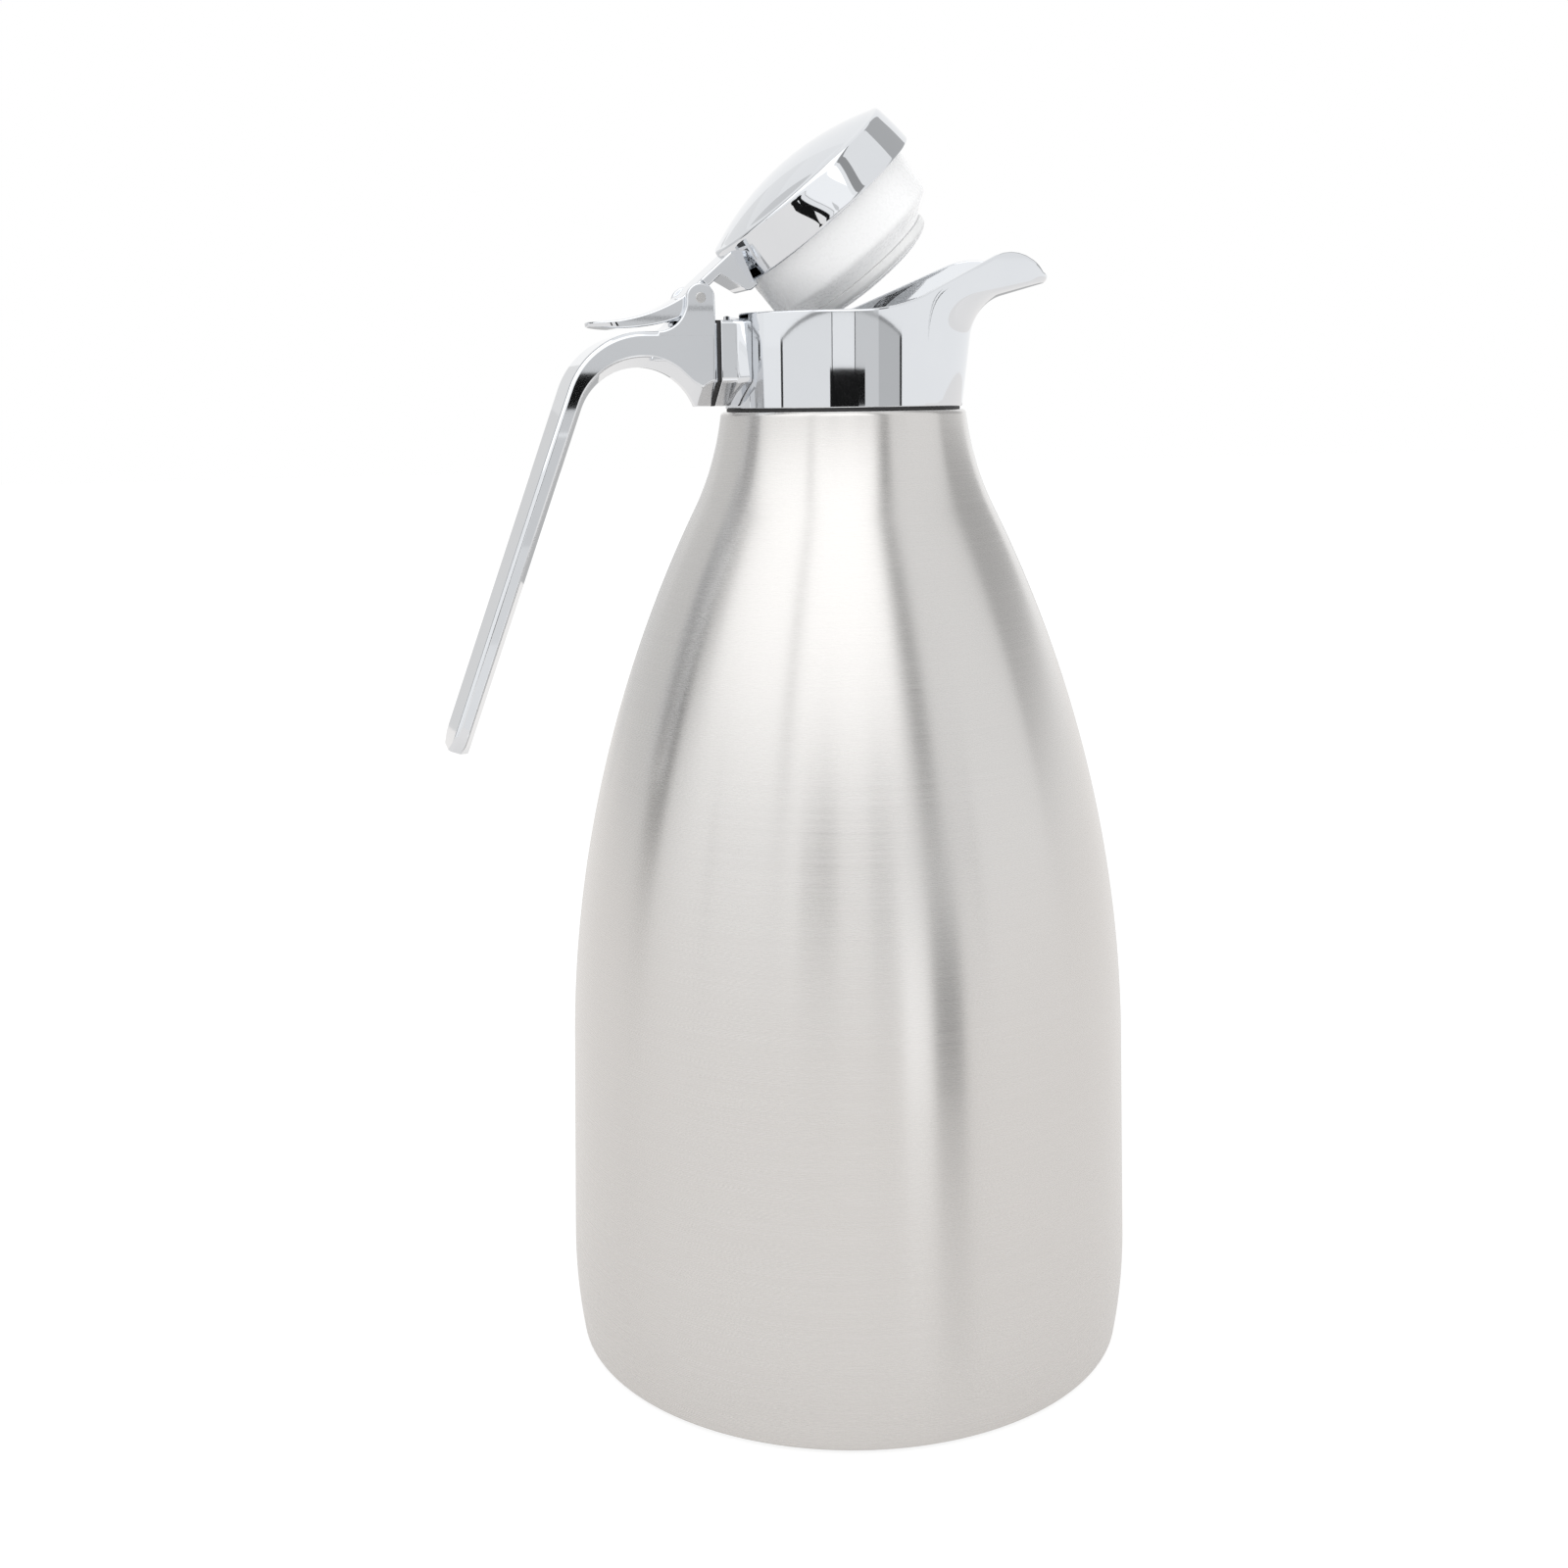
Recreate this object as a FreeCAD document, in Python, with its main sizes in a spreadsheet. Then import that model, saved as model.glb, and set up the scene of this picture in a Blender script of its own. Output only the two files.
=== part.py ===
import FreeCAD, Part
import Sketcher
import math
import os

# Thermal coffee server: a double-walled steel vessel with a chrome pouring collar,
# an open-ended handle and a hinged lid that carries a stopper.
# Millimetres and degrees, +Z up, +X towards the spout.
# The origin is on the table under the middle of the foot.
# Pieces of the lid are drawn with the lid shut, and turned about the hinge to stand open.

SIZES = {
    # outer wall of the vessel
    "belly_radius": 76.8,
    "belly_height": 28.8,
    "side_angle": 1.9,
    "base_sweep": 147.5,
    "side_height": 85.7,
    "shoulder_top": 251.5,
    "shoulder_round": 1.2,
    "neck_sweep": 73.9,
    "neck_rise": 8.5,
    "neck_step": 0.7,
    "shell_wall": 0.7,
    "stub_height": 9.0,
    # liner, vacuum space and base
    "vacuum_gap": 4.0,
    "liner_wall": 0.6,
    "liner_floor": 12.0,
    "liner_corner": 12.0,
    "plate_height": 6.0,
    "plate_wall": 0.9,
    "vent_radius": 2.0,
    "vent_head_radius": 4.0,
    "vent_head_height": 1.0,
    "getter_radius": 5.0,
    "getter_height": 3.0,
    "getter_offset": 25.0,
    "pan_wall": 0.8,
    "foot_height": 1.0,
    "foot_inset": 4.1,
    "shell_lift": 0.8,
    # funnel in the mouth
    "seat_radius": 17.3,
    "seat_height": 1.4,
    "funnel_height": 11.0,
    "funnel_wall": 0.6,
    "funnel_flange": 1.2,
    "funnel_skirt": 4.3,
    # pouring collar, its heights measured from its lower edge
    "gasket_thickness": 0.8,
    "collar_radius": 30.3,
    "collar_wall": 1.5,
    "collar_seat": 2.1,
    "rim_height": 23.1,
    "spout_reach": 24.7,
    "spout_nose_radius": 13.0,
    "spout_root": 0.3,
    "flare_angle": 7.0,
    "rake_angle": 15.0,
    "spout_bend": 12.0,
    "lip_height": 31.0,
    "lip_rise": 1.3,
    "rim_rise_start": -5.0,
    "rim_rise_radius": 46.0,
    "rise_angle": 24.5,
    "crest_setback": 14.6,
    "crest_height": 37.7,
    "crest_radius": 15.0,
    "fall_angle": 45.0,
    "notch_gap": 0.7,
    # boss, gasket and handle
    "boss_length": 3.9,
    "boss_lift": 0.7,
    "boss_height": 20.7,
    "keel_half_width": 1.5,
    "keel_rise": 6.1,
    "handle_gasket_thickness": 1.1,
    "handle_half_width": 10.0,
    "pin_setback": 3.8,
    "pin_rise": 5.35,
    "pin_radius": 1.25,
    "ear_radius": 3.5,
    "ear_thickness": 2.3,
    "ear_straight": 0.55,
    "slot_drop": 5.3,
    "arm_drop": 7.95,
    "arm_length": 3.0,
    "bend_radius": 20.5,
    "grip_depth": 5.0,
    "finger_back": 0.6,
    "finger_drop": 3.4,
    "grip_angle": 20.6,
    "grip_length": 90.2,
    "grip_bevel": 2.3,
    "edge_bevel": 0.8,
    "grip_corner": 4.0,
    # screws of the handle
    "handle_screw_radius": 2.0,
    "handle_screw_head_radius": 3.1,
    "handle_screw_head_height": 2.0,
    "handle_screw_rise": 3.7,
    "handle_screw_offset": 5.0,
    "handle_screw_sink": 0.9,
    "handle_screw_depth": 8.0,
    # lid and lever
    "open_angle": 40.9,
    "lid_gap": 1.0,
    "lid_wall": 1.3,
    "band_sink": 2.5,
    "band_height": 9.6,
    "band_taper": 1.3,
    "dome_edge": 0.9,
    "dome_rise": 4.8,
    "post_radius": 4.5,
    "knuckle_radius": 3.2,
    "knuckle_angle": 37.0,
    "lever_root_reach": 2.8,
    "lever_tip_reach": 23.7,
    "lever_tip_rise": 13.3,
    "lever_tip_thickness": 1.1,
    "lever_tip_angle": 35.0,
    "lever_top_sweep": 43.0,
    "lever_under_sweep": 61.0,
    "lever_tip_corner": 5.0,
    "arm_rise": 2.9,
    "arm_under": 0.4,
    "block_foot": 0.9,
    "block_slope": 2.3,
    "block_drop": 7.4,
    "block_round": 1.6,
    "lever_screw_radius": 1.2,
    "lever_screw_head_radius": 1.9,
    "lever_screw_head_height": 1.4,
    "lever_screw_rise": 6.3,
    "lever_screw_offset": 4.5,
    "lever_screw_bite": 1.6,
    # stopper, its heights measured from the funnel's seat
    "plate_lift": 2.1,
    "plate_thickness": 1.6,
    "plate_edge": 0.6,
    "spigot_height": 2.2,
    "stopper_wall": 1.6,
    "stopper_lift": 0.1,
    "stopper_step_rise": 5.6,
    "stopper_step_out": 0.5,
    "stopper_shoulder_rise": 8.9,
    "shoulder_rise": 0.6,
    "core_wall": 2.0,
    "foam_gap": 4.5,
    "seal_gap": 0.4,
    "seal_width": 2.3,
    "seal_lift": 1.3,
    "seal_height": 2.8,
    "seal_lip": 0.8,
    "seal_rim": 0.3,
    "seal_bevel": 1.0,
    "stopper_screw_radius": 2.0,
    "stopper_screw_head_radius": 3.5,
    "stopper_screw_head_height": 2.0,
    "stopper_screw_length": 7.0,
    "washer_radius": 5.0,
    "washer_thickness": 0.8,
    # clearances
    "fit_gap": 0.1,
    "pin_gap": 0.06,
    "press_gap": 0.02,
    "side_gap": 0.3,
}

DOC = FreeCAD.newDocument("thermal_server")
SHEET = DOC.addObject("Spreadsheet::Sheet", "dims")
PLACES = DOC.addObject("Spreadsheet::Sheet", "places")


class Size:
    """A length or angle, known both as a number and as an expression on the sheet."""

    def __init__(self, value, text):
        self.value = value
        self.text = text

    def join(self, other, sign, value):
        return Size(value, f"({self.text} {sign} {other.text})")

    def __add__(self, other):
        other = as_size(other)
        return self.join(other, "+", self.value + other.value)

    def __sub__(self, other):
        other = as_size(other)
        return self.join(other, "-", self.value - other.value)

    def __mul__(self, other):
        other = as_size(other)
        return self.join(other, "*", self.value * other.value)

    def __truediv__(self, other):
        other = as_size(other)
        return self.join(other, "/", self.value / other.value)

    def __radd__(self, other):
        return as_size(other) + self

    def __rsub__(self, other):
        return as_size(other) - self

    def __rmul__(self, other):
        return as_size(other) * self

    def __neg__(self):
        return Size(-self.value, f"(0 - {self.text})")


def as_size(value):
    return value if isinstance(value, Size) else Size(float(value), repr(float(value)))


def sine(angle):
    return Size(math.sin(math.radians(angle.value)), f"sin({angle.text})")


def cosine(angle):
    return Size(math.cos(math.radians(angle.value)), f"cos({angle.text})")


def tangent(angle):
    return Size(math.tan(math.radians(angle.value)), f"tan({angle.text})")


def root(square):
    return Size(math.sqrt(square.value), f"sqrt({square.text})")


class Dims:
    """Every driving size by name, each tied to its cell of the sheet."""


def fill_sheet():
    for row, (alias, value) in enumerate(SIZES.items(), start=1):
        SHEET.set(f"A{row}", alias)
        SHEET.set(f"B{row}", repr(value))
        SHEET.setAlias(f"B{row}", alias)
        setattr(Dims, alias, Size(value, f"dims.{alias}"))
    DOC.recompute()


def worked(alias, size):
    """Keeps a worked-out size on the second sheet, under a name of its own."""
    row = 1
    while PLACES.getContents(f"A{row}"):
        row += 1
    PLACES.set(f"A{row}", alias)
    PLACES.set(f"B{row}", f"={size.text}")
    PLACES.setAlias(f"B{row}", alias)
    return Size(size.value, f"places.{alias}")


fill_sheet()
d = Dims

# Sizes and places that follow from the driving ones

LEAN_C, LEAN_S = cosine(d.side_angle), sine(d.side_angle)
SIDE_RISE = worked("side_rise", d.side_height - d.belly_height)
SIDE_RADIUS = worked("side_radius", d.belly_radius - tangent(d.side_angle) * SIDE_RISE)
NECK_RADIUS = worked("neck_radius", d.collar_radius + d.neck_step)
NECK_LEVEL = worked("neck_level", d.shoulder_top + d.neck_rise)
NECK_ACROSS = worked("neck_across", NECK_RADIUS + d.neck_sweep - SIDE_RADIUS)
NECK_UP = worked("neck_up", NECK_LEVEL - d.side_height)
# the shoulder's arc is tangent to the leaning side and to the neck's arc
SHOULDER_SWEEP = worked(
    "shoulder_sweep",
    (NECK_ACROSS * NECK_ACROSS + NECK_UP * NECK_UP - d.neck_sweep * d.neck_sweep)
    / (2 * (d.neck_sweep - NECK_ACROSS * LEAN_C - NECK_UP * LEAN_S)),
)
STUB_RADIUS = worked("stub_radius", d.collar_radius - d.collar_seat)
STUB_TOP = worked("stub_top", d.shoulder_top + d.stub_height)
LINER_INSET = worked("liner_inset", d.shell_wall + d.vacuum_gap)
LINER_LIP = worked("liner_lip", STUB_TOP + d.liner_wall)
FUNNEL_TOP = worked("funnel_top", LINER_LIP + d.funnel_flange)
SEAT_TOP = worked("seat_top", FUNNEL_TOP - d.funnel_height + d.seat_height)

COLLAR_BOTTOM = worked("collar_bottom", d.shoulder_top + d.gasket_thickness)
COLLAR_BORE_TOP = worked("collar_bore_top", FUNNEL_TOP + d.fit_gap)
RIM_LEVEL = worked("rim_level", COLLAR_BOTTOM + d.rim_height)
SPOUT_TIP = worked("spout_tip", d.collar_radius + d.spout_reach)
LIP_LEVEL = worked("lip_level", COLLAR_BOTTOM + d.lip_height)
LIP_RIM = worked("lip_rim", LIP_LEVEL + d.lip_rise)
CREST_REACH = worked("crest_reach", SPOUT_TIP - d.crest_setback)
CREST_LEVEL = worked("crest_level", COLLAR_BOTTOM + d.crest_height)

BOSS_REACH = worked("boss_reach", d.collar_radius + d.boss_length)
BOSS_BOTTOM = worked("boss_bottom", COLLAR_BOTTOM + d.boss_lift)
BOSS_SIDE_BOTTOM = worked("boss_side_bottom", BOSS_BOTTOM + d.keel_rise)
BOSS_TOP = worked("boss_top", BOSS_BOTTOM + d.boss_height)
HANDLE_FACE = worked("handle_face", BOSS_REACH + d.handle_gasket_thickness)
PIN_REACH = worked("pin_reach", HANDLE_FACE + d.pin_setback)
PIN_LEVEL = worked("pin_level", BOSS_TOP + d.pin_rise)
SLOT_FLOOR = worked("slot_floor", PIN_LEVEL - d.slot_drop)
ARM_TOP = worked("arm_top", PIN_LEVEL - d.arm_drop)
EAR_SWEEP = worked("ear_sweep", d.arm_drop - d.ear_straight)
ARM_ROOT = worked("arm_root", PIN_REACH + d.ear_radius + EAR_SWEEP)
BEND_REACH = worked("bend_reach", ARM_ROOT + d.arm_length)
BEND_LEVEL = worked("bend_level", ARM_TOP - d.bend_radius)
FINGER_REACH = worked("finger_reach", BEND_REACH + d.finger_back)
FINGER_LEVEL = worked("finger_level", BEND_LEVEL - d.finger_drop)
FINGER_RADIUS = worked("finger_radius", d.bend_radius - d.grip_depth)
ROOT_DROP = worked("root_drop", BOSS_BOTTOM - FINGER_LEVEL)
ROOT_REACH = worked(
    "root_reach",
    FINGER_REACH - root(FINGER_RADIUS * FINGER_RADIUS - ROOT_DROP * ROOT_DROP),
)
HANDLE_SCREW_LEVEL = worked("handle_screw_level", COLLAR_BORE_TOP + d.handle_screw_rise)
HANDLE_SCREW_SEAT = worked("handle_screw_seat", d.collar_radius + d.handle_screw_sink)
LEVER_HALF_WIDTH = worked("lever_half_width", d.handle_half_width - d.ear_thickness - d.side_gap)

BAND_BOTTOM = worked("band_bottom", RIM_LEVEL - d.band_sink)
BAND_TOP = worked("band_top", BAND_BOTTOM + d.band_height)
BAND_BOTTOM_RADIUS = worked("band_bottom_radius", d.collar_radius - d.collar_wall - d.lid_gap)
BAND_TOP_RADIUS = worked("band_top_radius", BAND_BOTTOM_RADIUS - d.band_taper)
BAND_INNER_RADIUS = worked("band_inner_radius", BAND_TOP_RADIUS - d.lid_wall)
DOME_EDGE_RADIUS = worked("dome_edge_radius", BAND_TOP_RADIUS - d.dome_edge)
LID_TOP = worked("lid_top", BAND_TOP + d.dome_edge + d.dome_rise)
DOME_RADIUS = worked(
    "dome_radius",
    (DOME_EDGE_RADIUS * DOME_EDGE_RADIUS + d.dome_rise * d.dome_rise) / (2 * d.dome_rise),
)
BLOCK_FOOT_REACH = worked("block_foot_reach", PIN_REACH - BAND_BOTTOM_RADIUS - d.block_foot)
LEVER_SCREW_LEVEL = worked("lever_screw_level", BAND_BOTTOM + d.lever_screw_rise)
LEVER_SCREW_REACH = worked("lever_screw_reach", BAND_BOTTOM_RADIUS + d.lever_screw_bite)

STOPPER_TOP = worked("stopper_top", BAND_BOTTOM + d.plate_lift)
PLATE_TOP = worked("plate_top", STOPPER_TOP + d.plate_thickness)
PLATE_RADIUS = worked("plate_radius", BAND_INNER_RADIUS - d.side_gap)
STOPPER_RADIUS = worked("stopper_radius", PLATE_RADIUS - d.plate_edge)
WASHER_BOTTOM = worked("washer_bottom", STOPPER_TOP - d.washer_thickness)
SCREW_BORE = worked("screw_bore", d.stopper_screw_radius + d.press_gap)
STOPPER_BOTTOM = worked("stopper_bottom", SEAT_TOP + d.stopper_lift)
STEP_LEVEL = worked("step_level", SEAT_TOP + d.stopper_step_rise)
SHOULDER_LEVEL = worked("shoulder_level", SEAT_TOP + d.stopper_shoulder_rise)
FOAM_TOP = worked("foam_top", STOPPER_TOP - d.foam_gap)
TOUCH = 0.001


# Drawing and feature helpers

def new_body(label):
    body = DOC.addObject("PartDesign::Body", label)
    body.Label = label
    return body


def sketch_on(body, name, role, offset=None):
    """A sketch on one of the body's own origin planes, moved along that plane's normal."""
    sketch = body.newObject("Sketcher::SketchObject", name)
    plane = next(item for item in body.Origin.OriginFeatures if item.Role == role)
    sketch.AttachmentSupport = [(plane, "")]
    sketch.MapMode = "FlatFace"
    if offset is not None:
        sketch.setExpression("AttachmentOffset.Base.z", offset.text)
    return sketch


def tie(sketch, kind, name, size, *where):
    """Adds one dimension to a sketch and binds it to the sheet."""
    index = sketch.addConstraint(Sketcher.Constraint(kind, *where, size.value))
    sketch.renameConstraint(index, name)
    sketch.setExpression(f"Constraints.{name}", size.text)


def place_point(sketch, name, point, edge, end):
    """Fixes an edge's end at point, an (across, up) pair measured from the sketch's origin."""
    axes = (("DistanceX", "across", -2), ("DistanceY", "up", -1))
    for size, (kind, word, axis) in zip(point, axes):
        size = as_size(size)
        if abs(size.value) < 1e-9:
            sketch.addConstraint(Sketcher.Constraint("PointOnObject", edge, end, axis))
        else:
            tie(sketch, kind, f"{word}_{name}", size, -1, 1, edge, end)


def arc_between(start, end, radius, side):
    """Arc under a half circle. Its centre is on the left of travel for side 1, on the right for -1."""
    chord = end - start
    left = FreeCAD.Vector(-chord.y, chord.x, 0).normalize()
    height = math.sqrt(max(radius * radius - chord.Length * chord.Length / 4, 0))
    centre = (start + end) * 0.5 + left * (side * height)
    first, last = (start, end) if side > 0 else (end, start)
    angles = [math.atan2(p.y - centre.y, p.x - centre.x) for p in (first, last)]
    circle = Part.Circle(centre, FreeCAD.Vector(0, 0, 1), radius)
    return Part.ArcOfCircle(circle, angles[0], angles[1])


def draw(sketch, outline):
    """Closed outline. Each entry is (across, up) or (across, up, radius, side), where the last
    two make the edge from that corner to the next an arc."""
    corners = [FreeCAD.Vector(as_size(c[0]).value, as_size(c[1]).value, 0) for c in outline]
    edges = []
    for index, corner in enumerate(outline):
        start = corners[index]
        end = corners[(index + 1) % len(corners)]
        if len(corner) == 4:
            radius, side = corner[2:]
            edge = sketch.addGeometry(arc_between(start, end, radius.value, side), False)
            edges.append((edge, 1, 2) if side > 0 else (edge, 2, 1))
        else:
            edges.append((sketch.addGeometry(Part.LineSegment(start, end), False), 1, 2))
    for index, (edge, first, _) in enumerate(edges):
        before, _, last = edges[index - 1]
        sketch.addConstraint(Sketcher.Constraint("Coincident", before, last, edge, first))
    for index, (edge, first, _) in enumerate(edges):
        place_point(sketch, str(index), outline[index][:2], edge, first)
        if len(outline[index]) == 4:
            tie(sketch, "Radius", f"radius_{index}", outline[index][2], edge)


def circles(sketch, centres, radius):
    for index, centre in enumerate(centres):
        middle = FreeCAD.Vector(as_size(centre[0]).value, as_size(centre[1]).value, 0)
        round_edge = Part.Circle(middle, FreeCAD.Vector(0, 0, 1), radius.value)
        edge = sketch.addGeometry(round_edge, False)
        place_point(sketch, str(index), centre, edge, 3)
        tie(sketch, "Radius", f"radius_{index}", radius, edge)


def rectangle(left, low, right, high):
    return [(left, low), (right, low), (right, high), (left, high)]


def backwards(line):
    """An open run of outline entries, walked the other way."""
    bends = [entry[2:] for entry in line]
    turned_bends = [(bend[0], -bend[1]) if bend else () for bend in reversed(bends[:-1])]
    points = [entry[:2] for entry in reversed(line)]
    return [point + bend for point, bend in zip(points, turned_bends + [()])]


def turned(label, outline):
    """A body turned about the Z axis from its half section."""
    body = new_body(label)
    sketch = sketch_on(body, f"{label}_section", "XZ_Plane")
    draw(sketch, outline)
    turn = body.newObject("PartDesign::Revolution", f"{label}_turn")
    turn.Profile = sketch
    turn.ReferenceAxis = (sketch, ["V_Axis"])
    turn.Angle = 360
    DOC.recompute()
    return body


def pad(body, sketch, length, symmetric=False, reverse=False):
    feature = body.newObject("PartDesign::Pad", f"{sketch.Name}_pad")
    feature.Profile = sketch
    feature.SideType = "Symmetric" if symmetric else "One side"
    feature.Reversed = reverse
    feature.setExpression("Length", length.text)
    DOC.recompute()
    return feature


def pocket(body, sketch, length, symmetric=False, reverse=False):
    """Cuts from the sketch against its normal, or along it when reversed, and tests that it did."""
    before = body.Shape.Volume
    feature = body.newObject("PartDesign::Pocket", f"{sketch.Name}_cut")
    feature.Profile = sketch
    feature.SideType = "Symmetric" if symmetric else "One side"
    feature.Reversed = reverse
    feature.setExpression("Length", length.text)
    DOC.recompute()
    if not body.Shape.Volume < before:
        raise RuntimeError(f"{sketch.Name} cuts nothing")
    return feature


def loft_runs(body, kind, sections):
    """Joins sections in three runs: straight from the first to the second, smooth round the bend
    to the last but one, and straight to the last."""
    for first, last in ((0, 1), (1, len(sections) - 2), (len(sections) - 2, len(sections) - 1)):
        feature = body.newObject(kind, f"{sections[first].Name}_loft")
        feature.Profile = sections[first]
        feature.Sections = sections[first + 1:last + 1]
        feature.Ruled = False
        DOC.recompute()


def edge_names(feature, test):
    """Names of the feature's edges whose two ends and middle all pass the test."""
    names = []
    for index, edge in enumerate(feature.Shape.Edges, start=1):
        middle = edge.valueAt((edge.FirstParameter + edge.LastParameter) / 2)
        points = [vertex.Point for vertex in edge.Vertexes] + [middle]
        if all(test(point) for point in points):
            names.append(f"Edge{index}")
    return names


def swing_with_lid(item):
    """Turns a piece drawn with the lid shut about the hinge pin, to where the lid stands open."""
    across = -PIN_REACH
    up = PIN_LEVEL
    turn = 1 - cosine(d.open_angle)
    item.Placement = FreeCAD.Placement(FreeCAD.Vector(), FreeCAD.Rotation(FreeCAD.Vector(0, -1, 0), 1))
    item.setExpression("Placement.Rotation.Angle", d.open_angle.text)
    item.setExpression("Placement.Base.x", (across * turn + up * sine(d.open_angle)).text)
    item.setExpression("Placement.Base.z", (up * turn - across * sine(d.open_angle)).text)


# Vessel

def wall_line(inset, low, high):
    """Right half of the vessel's outline from height low to high, moved inwards by inset:
    base sweep, leaning side, shoulder sweep and neck sweep, each tangent to the next."""
    sweep_centre = (SIDE_RADIUS - SHOULDER_SWEEP * LEAN_C, d.side_height - SHOULDER_SWEEP * LEAN_S)
    neck_centre = (NECK_RADIUS + d.neck_sweep, NECK_LEVEL)
    share = (SHOULDER_SWEEP - inset) / (SHOULDER_SWEEP + d.neck_sweep)
    meeting = tuple(low_end + (high_end - low_end) * share
                    for low_end, high_end in zip(sweep_centre, neck_centre))
    return [
        (base_radius(inset, low), low, d.base_sweep - inset, 1),
        (d.belly_radius - inset * LEAN_C, d.belly_height - inset * LEAN_S),
        (SIDE_RADIUS - inset * LEAN_C, d.side_height - inset * LEAN_S, SHOULDER_SWEEP - inset, 1),
        meeting + (d.neck_sweep + inset, -1),
        (neck_radius(inset, high), high),
    ]


def base_radius(inset, height):
    """Radius of the wall's base sweep at a height, moved inwards by inset."""
    sweep = d.base_sweep - inset
    rise = height - d.belly_height + d.base_sweep * LEAN_S
    return d.belly_radius - d.base_sweep * LEAN_C + root(sweep * sweep - rise * rise)


def neck_radius(inset, height):
    """Radius of the wall's neck sweep at a height, moved inwards by inset."""
    sweep = d.neck_sweep + inset
    rise = height - NECK_LEVEL
    return NECK_RADIUS + d.neck_sweep - root(sweep * sweep - rise * rise)


NECK_BORE = worked("neck_bore", neck_radius(LINER_INSET + d.liner_wall, STUB_TOP))
SKIRT_RADIUS = worked("skirt_radius", NECK_BORE - d.fit_gap)
FUNNEL_SLOPE = worked(
    "funnel_slope",
    (SKIRT_RADIUS - d.funnel_wall - d.seat_radius) / (LINER_LIP - SEAT_TOP),
)
SEAL_BOTTOM = worked("seal_bottom", SEAT_TOP + d.seal_lift)
SEAL_RADIUS = worked(
    "seal_radius",
    d.seat_radius + FUNNEL_SLOPE * (d.seal_lift + d.seal_bevel) - d.seal_gap,
)
SEAL_BORE = worked("seal_bore", SEAL_RADIUS - d.seal_width)
CORE_RADIUS = worked("core_radius", SEAL_BORE - d.core_wall)


def make_outer_shell():
    outside = wall_line(as_size(0), d.shell_lift, d.shoulder_top - d.shoulder_round)
    top_radius = outside[-1][0]
    outside[-1] = outside[-1] + (d.shoulder_round, 1)
    inside = wall_line(d.shell_wall, d.shell_lift, d.shoulder_top - d.shell_wall)
    stub_bore = STUB_RADIUS - d.shell_wall
    shoulder = [
        (top_radius - d.shoulder_round, d.shoulder_top),
        (STUB_RADIUS, d.shoulder_top),
        (STUB_RADIUS, STUB_TOP),
        (stub_bore, STUB_TOP),
        (stub_bore, d.shoulder_top - d.shell_wall),
    ]
    return turned("outer_shell", outside + shoulder + backwards(inside))


def make_inner_liner():
    corner_top = d.liner_floor + d.liner_corner
    outside = wall_line(LINER_INSET, corner_top, STUB_TOP)
    inside = wall_line(LINER_INSET + d.liner_wall, corner_top, LINER_LIP)
    inner_corner = d.liner_corner - d.liner_wall
    inner_floor = d.liner_floor + d.liner_wall
    inward = backwards(inside)
    inward[-1] = inward[-1] + (inner_corner, -1)
    return turned("inner_liner", [
        (0, d.liner_floor),
        (outside[0][0] - d.liner_corner, d.liner_floor, d.liner_corner, 1),
        *outside,
        (STUB_RADIUS, STUB_TOP),
        (STUB_RADIUS, LINER_LIP),
        *inward,
        (inside[0][0] - inner_corner, inner_floor),
        (0, inner_floor),
    ])


def make_base():
    """Plate that closes the vacuum, its vent plug and getter, the pan below and the foot pad."""
    plate_top = d.plate_height + d.plate_wall
    plate_rim = base_radius(d.shell_wall, d.plate_height) - d.fit_gap
    plate_bore = d.vent_radius + d.press_gap
    plate = turned("base_plate", rectangle(plate_bore, d.plate_height, plate_rim, plate_top))
    head_low = d.plate_height - d.vent_head_height
    plug = turned("vent_plug", [
        (0, head_low),
        (d.vent_head_radius, head_low),
        (d.vent_head_radius, d.plate_height),
        (d.vent_radius, d.plate_height),
        (d.vent_radius, plate_top),
        (0, plate_top),
    ])
    getter = DOC.addObject("Part::Cylinder", "getter_capsule")
    getter.setExpression("Radius", d.getter_radius.text)
    getter.setExpression("Height", d.getter_height.text)
    getter.setExpression("Placement.Base.x", d.getter_offset.text)
    getter.setExpression("Placement.Base.z", plate_top.text)
    pan_floor = d.foot_height + d.pan_wall
    pan_rim = base_radius(d.shell_wall, d.foot_height) - d.fit_gap
    pan_top = d.plate_height - d.fit_gap
    cover = turned("base_cover", [
        (0, d.foot_height),
        (pan_rim, d.foot_height),
        (pan_rim, pan_top),
        (pan_rim - d.pan_wall, pan_top),
        (pan_rim - d.pan_wall, pan_floor),
        (0, pan_floor),
    ])
    foot = turned("foot_pad", rectangle(0, 0, pan_rim - d.foot_inset, d.foot_height))
    return [plate, plug, getter, cover, foot]


def make_mouth_funnel():
    """Funnel hung by its flange on the mouth's lip. The stopper's seal meets its cone."""
    flange_radius = STUB_RADIUS - d.side_gap
    bottom = SEAT_TOP - d.seat_height
    skirt_low = LINER_LIP - d.funnel_skirt
    return turned("mouth_funnel", [
        (d.seat_radius, bottom),
        (SKIRT_RADIUS - FUNNEL_SLOPE * (skirt_low - bottom), bottom),
        (SKIRT_RADIUS, skirt_low),
        (SKIRT_RADIUS, LINER_LIP),
        (flange_radius, LINER_LIP),
        (flange_radius, FUNNEL_TOP),
        (d.seat_radius + FUNNEL_SLOPE * (FUNNEL_TOP - SEAT_TOP), FUNNEL_TOP),
        (d.seat_radius, SEAT_TOP),
    ])


# Pouring collar

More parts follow.
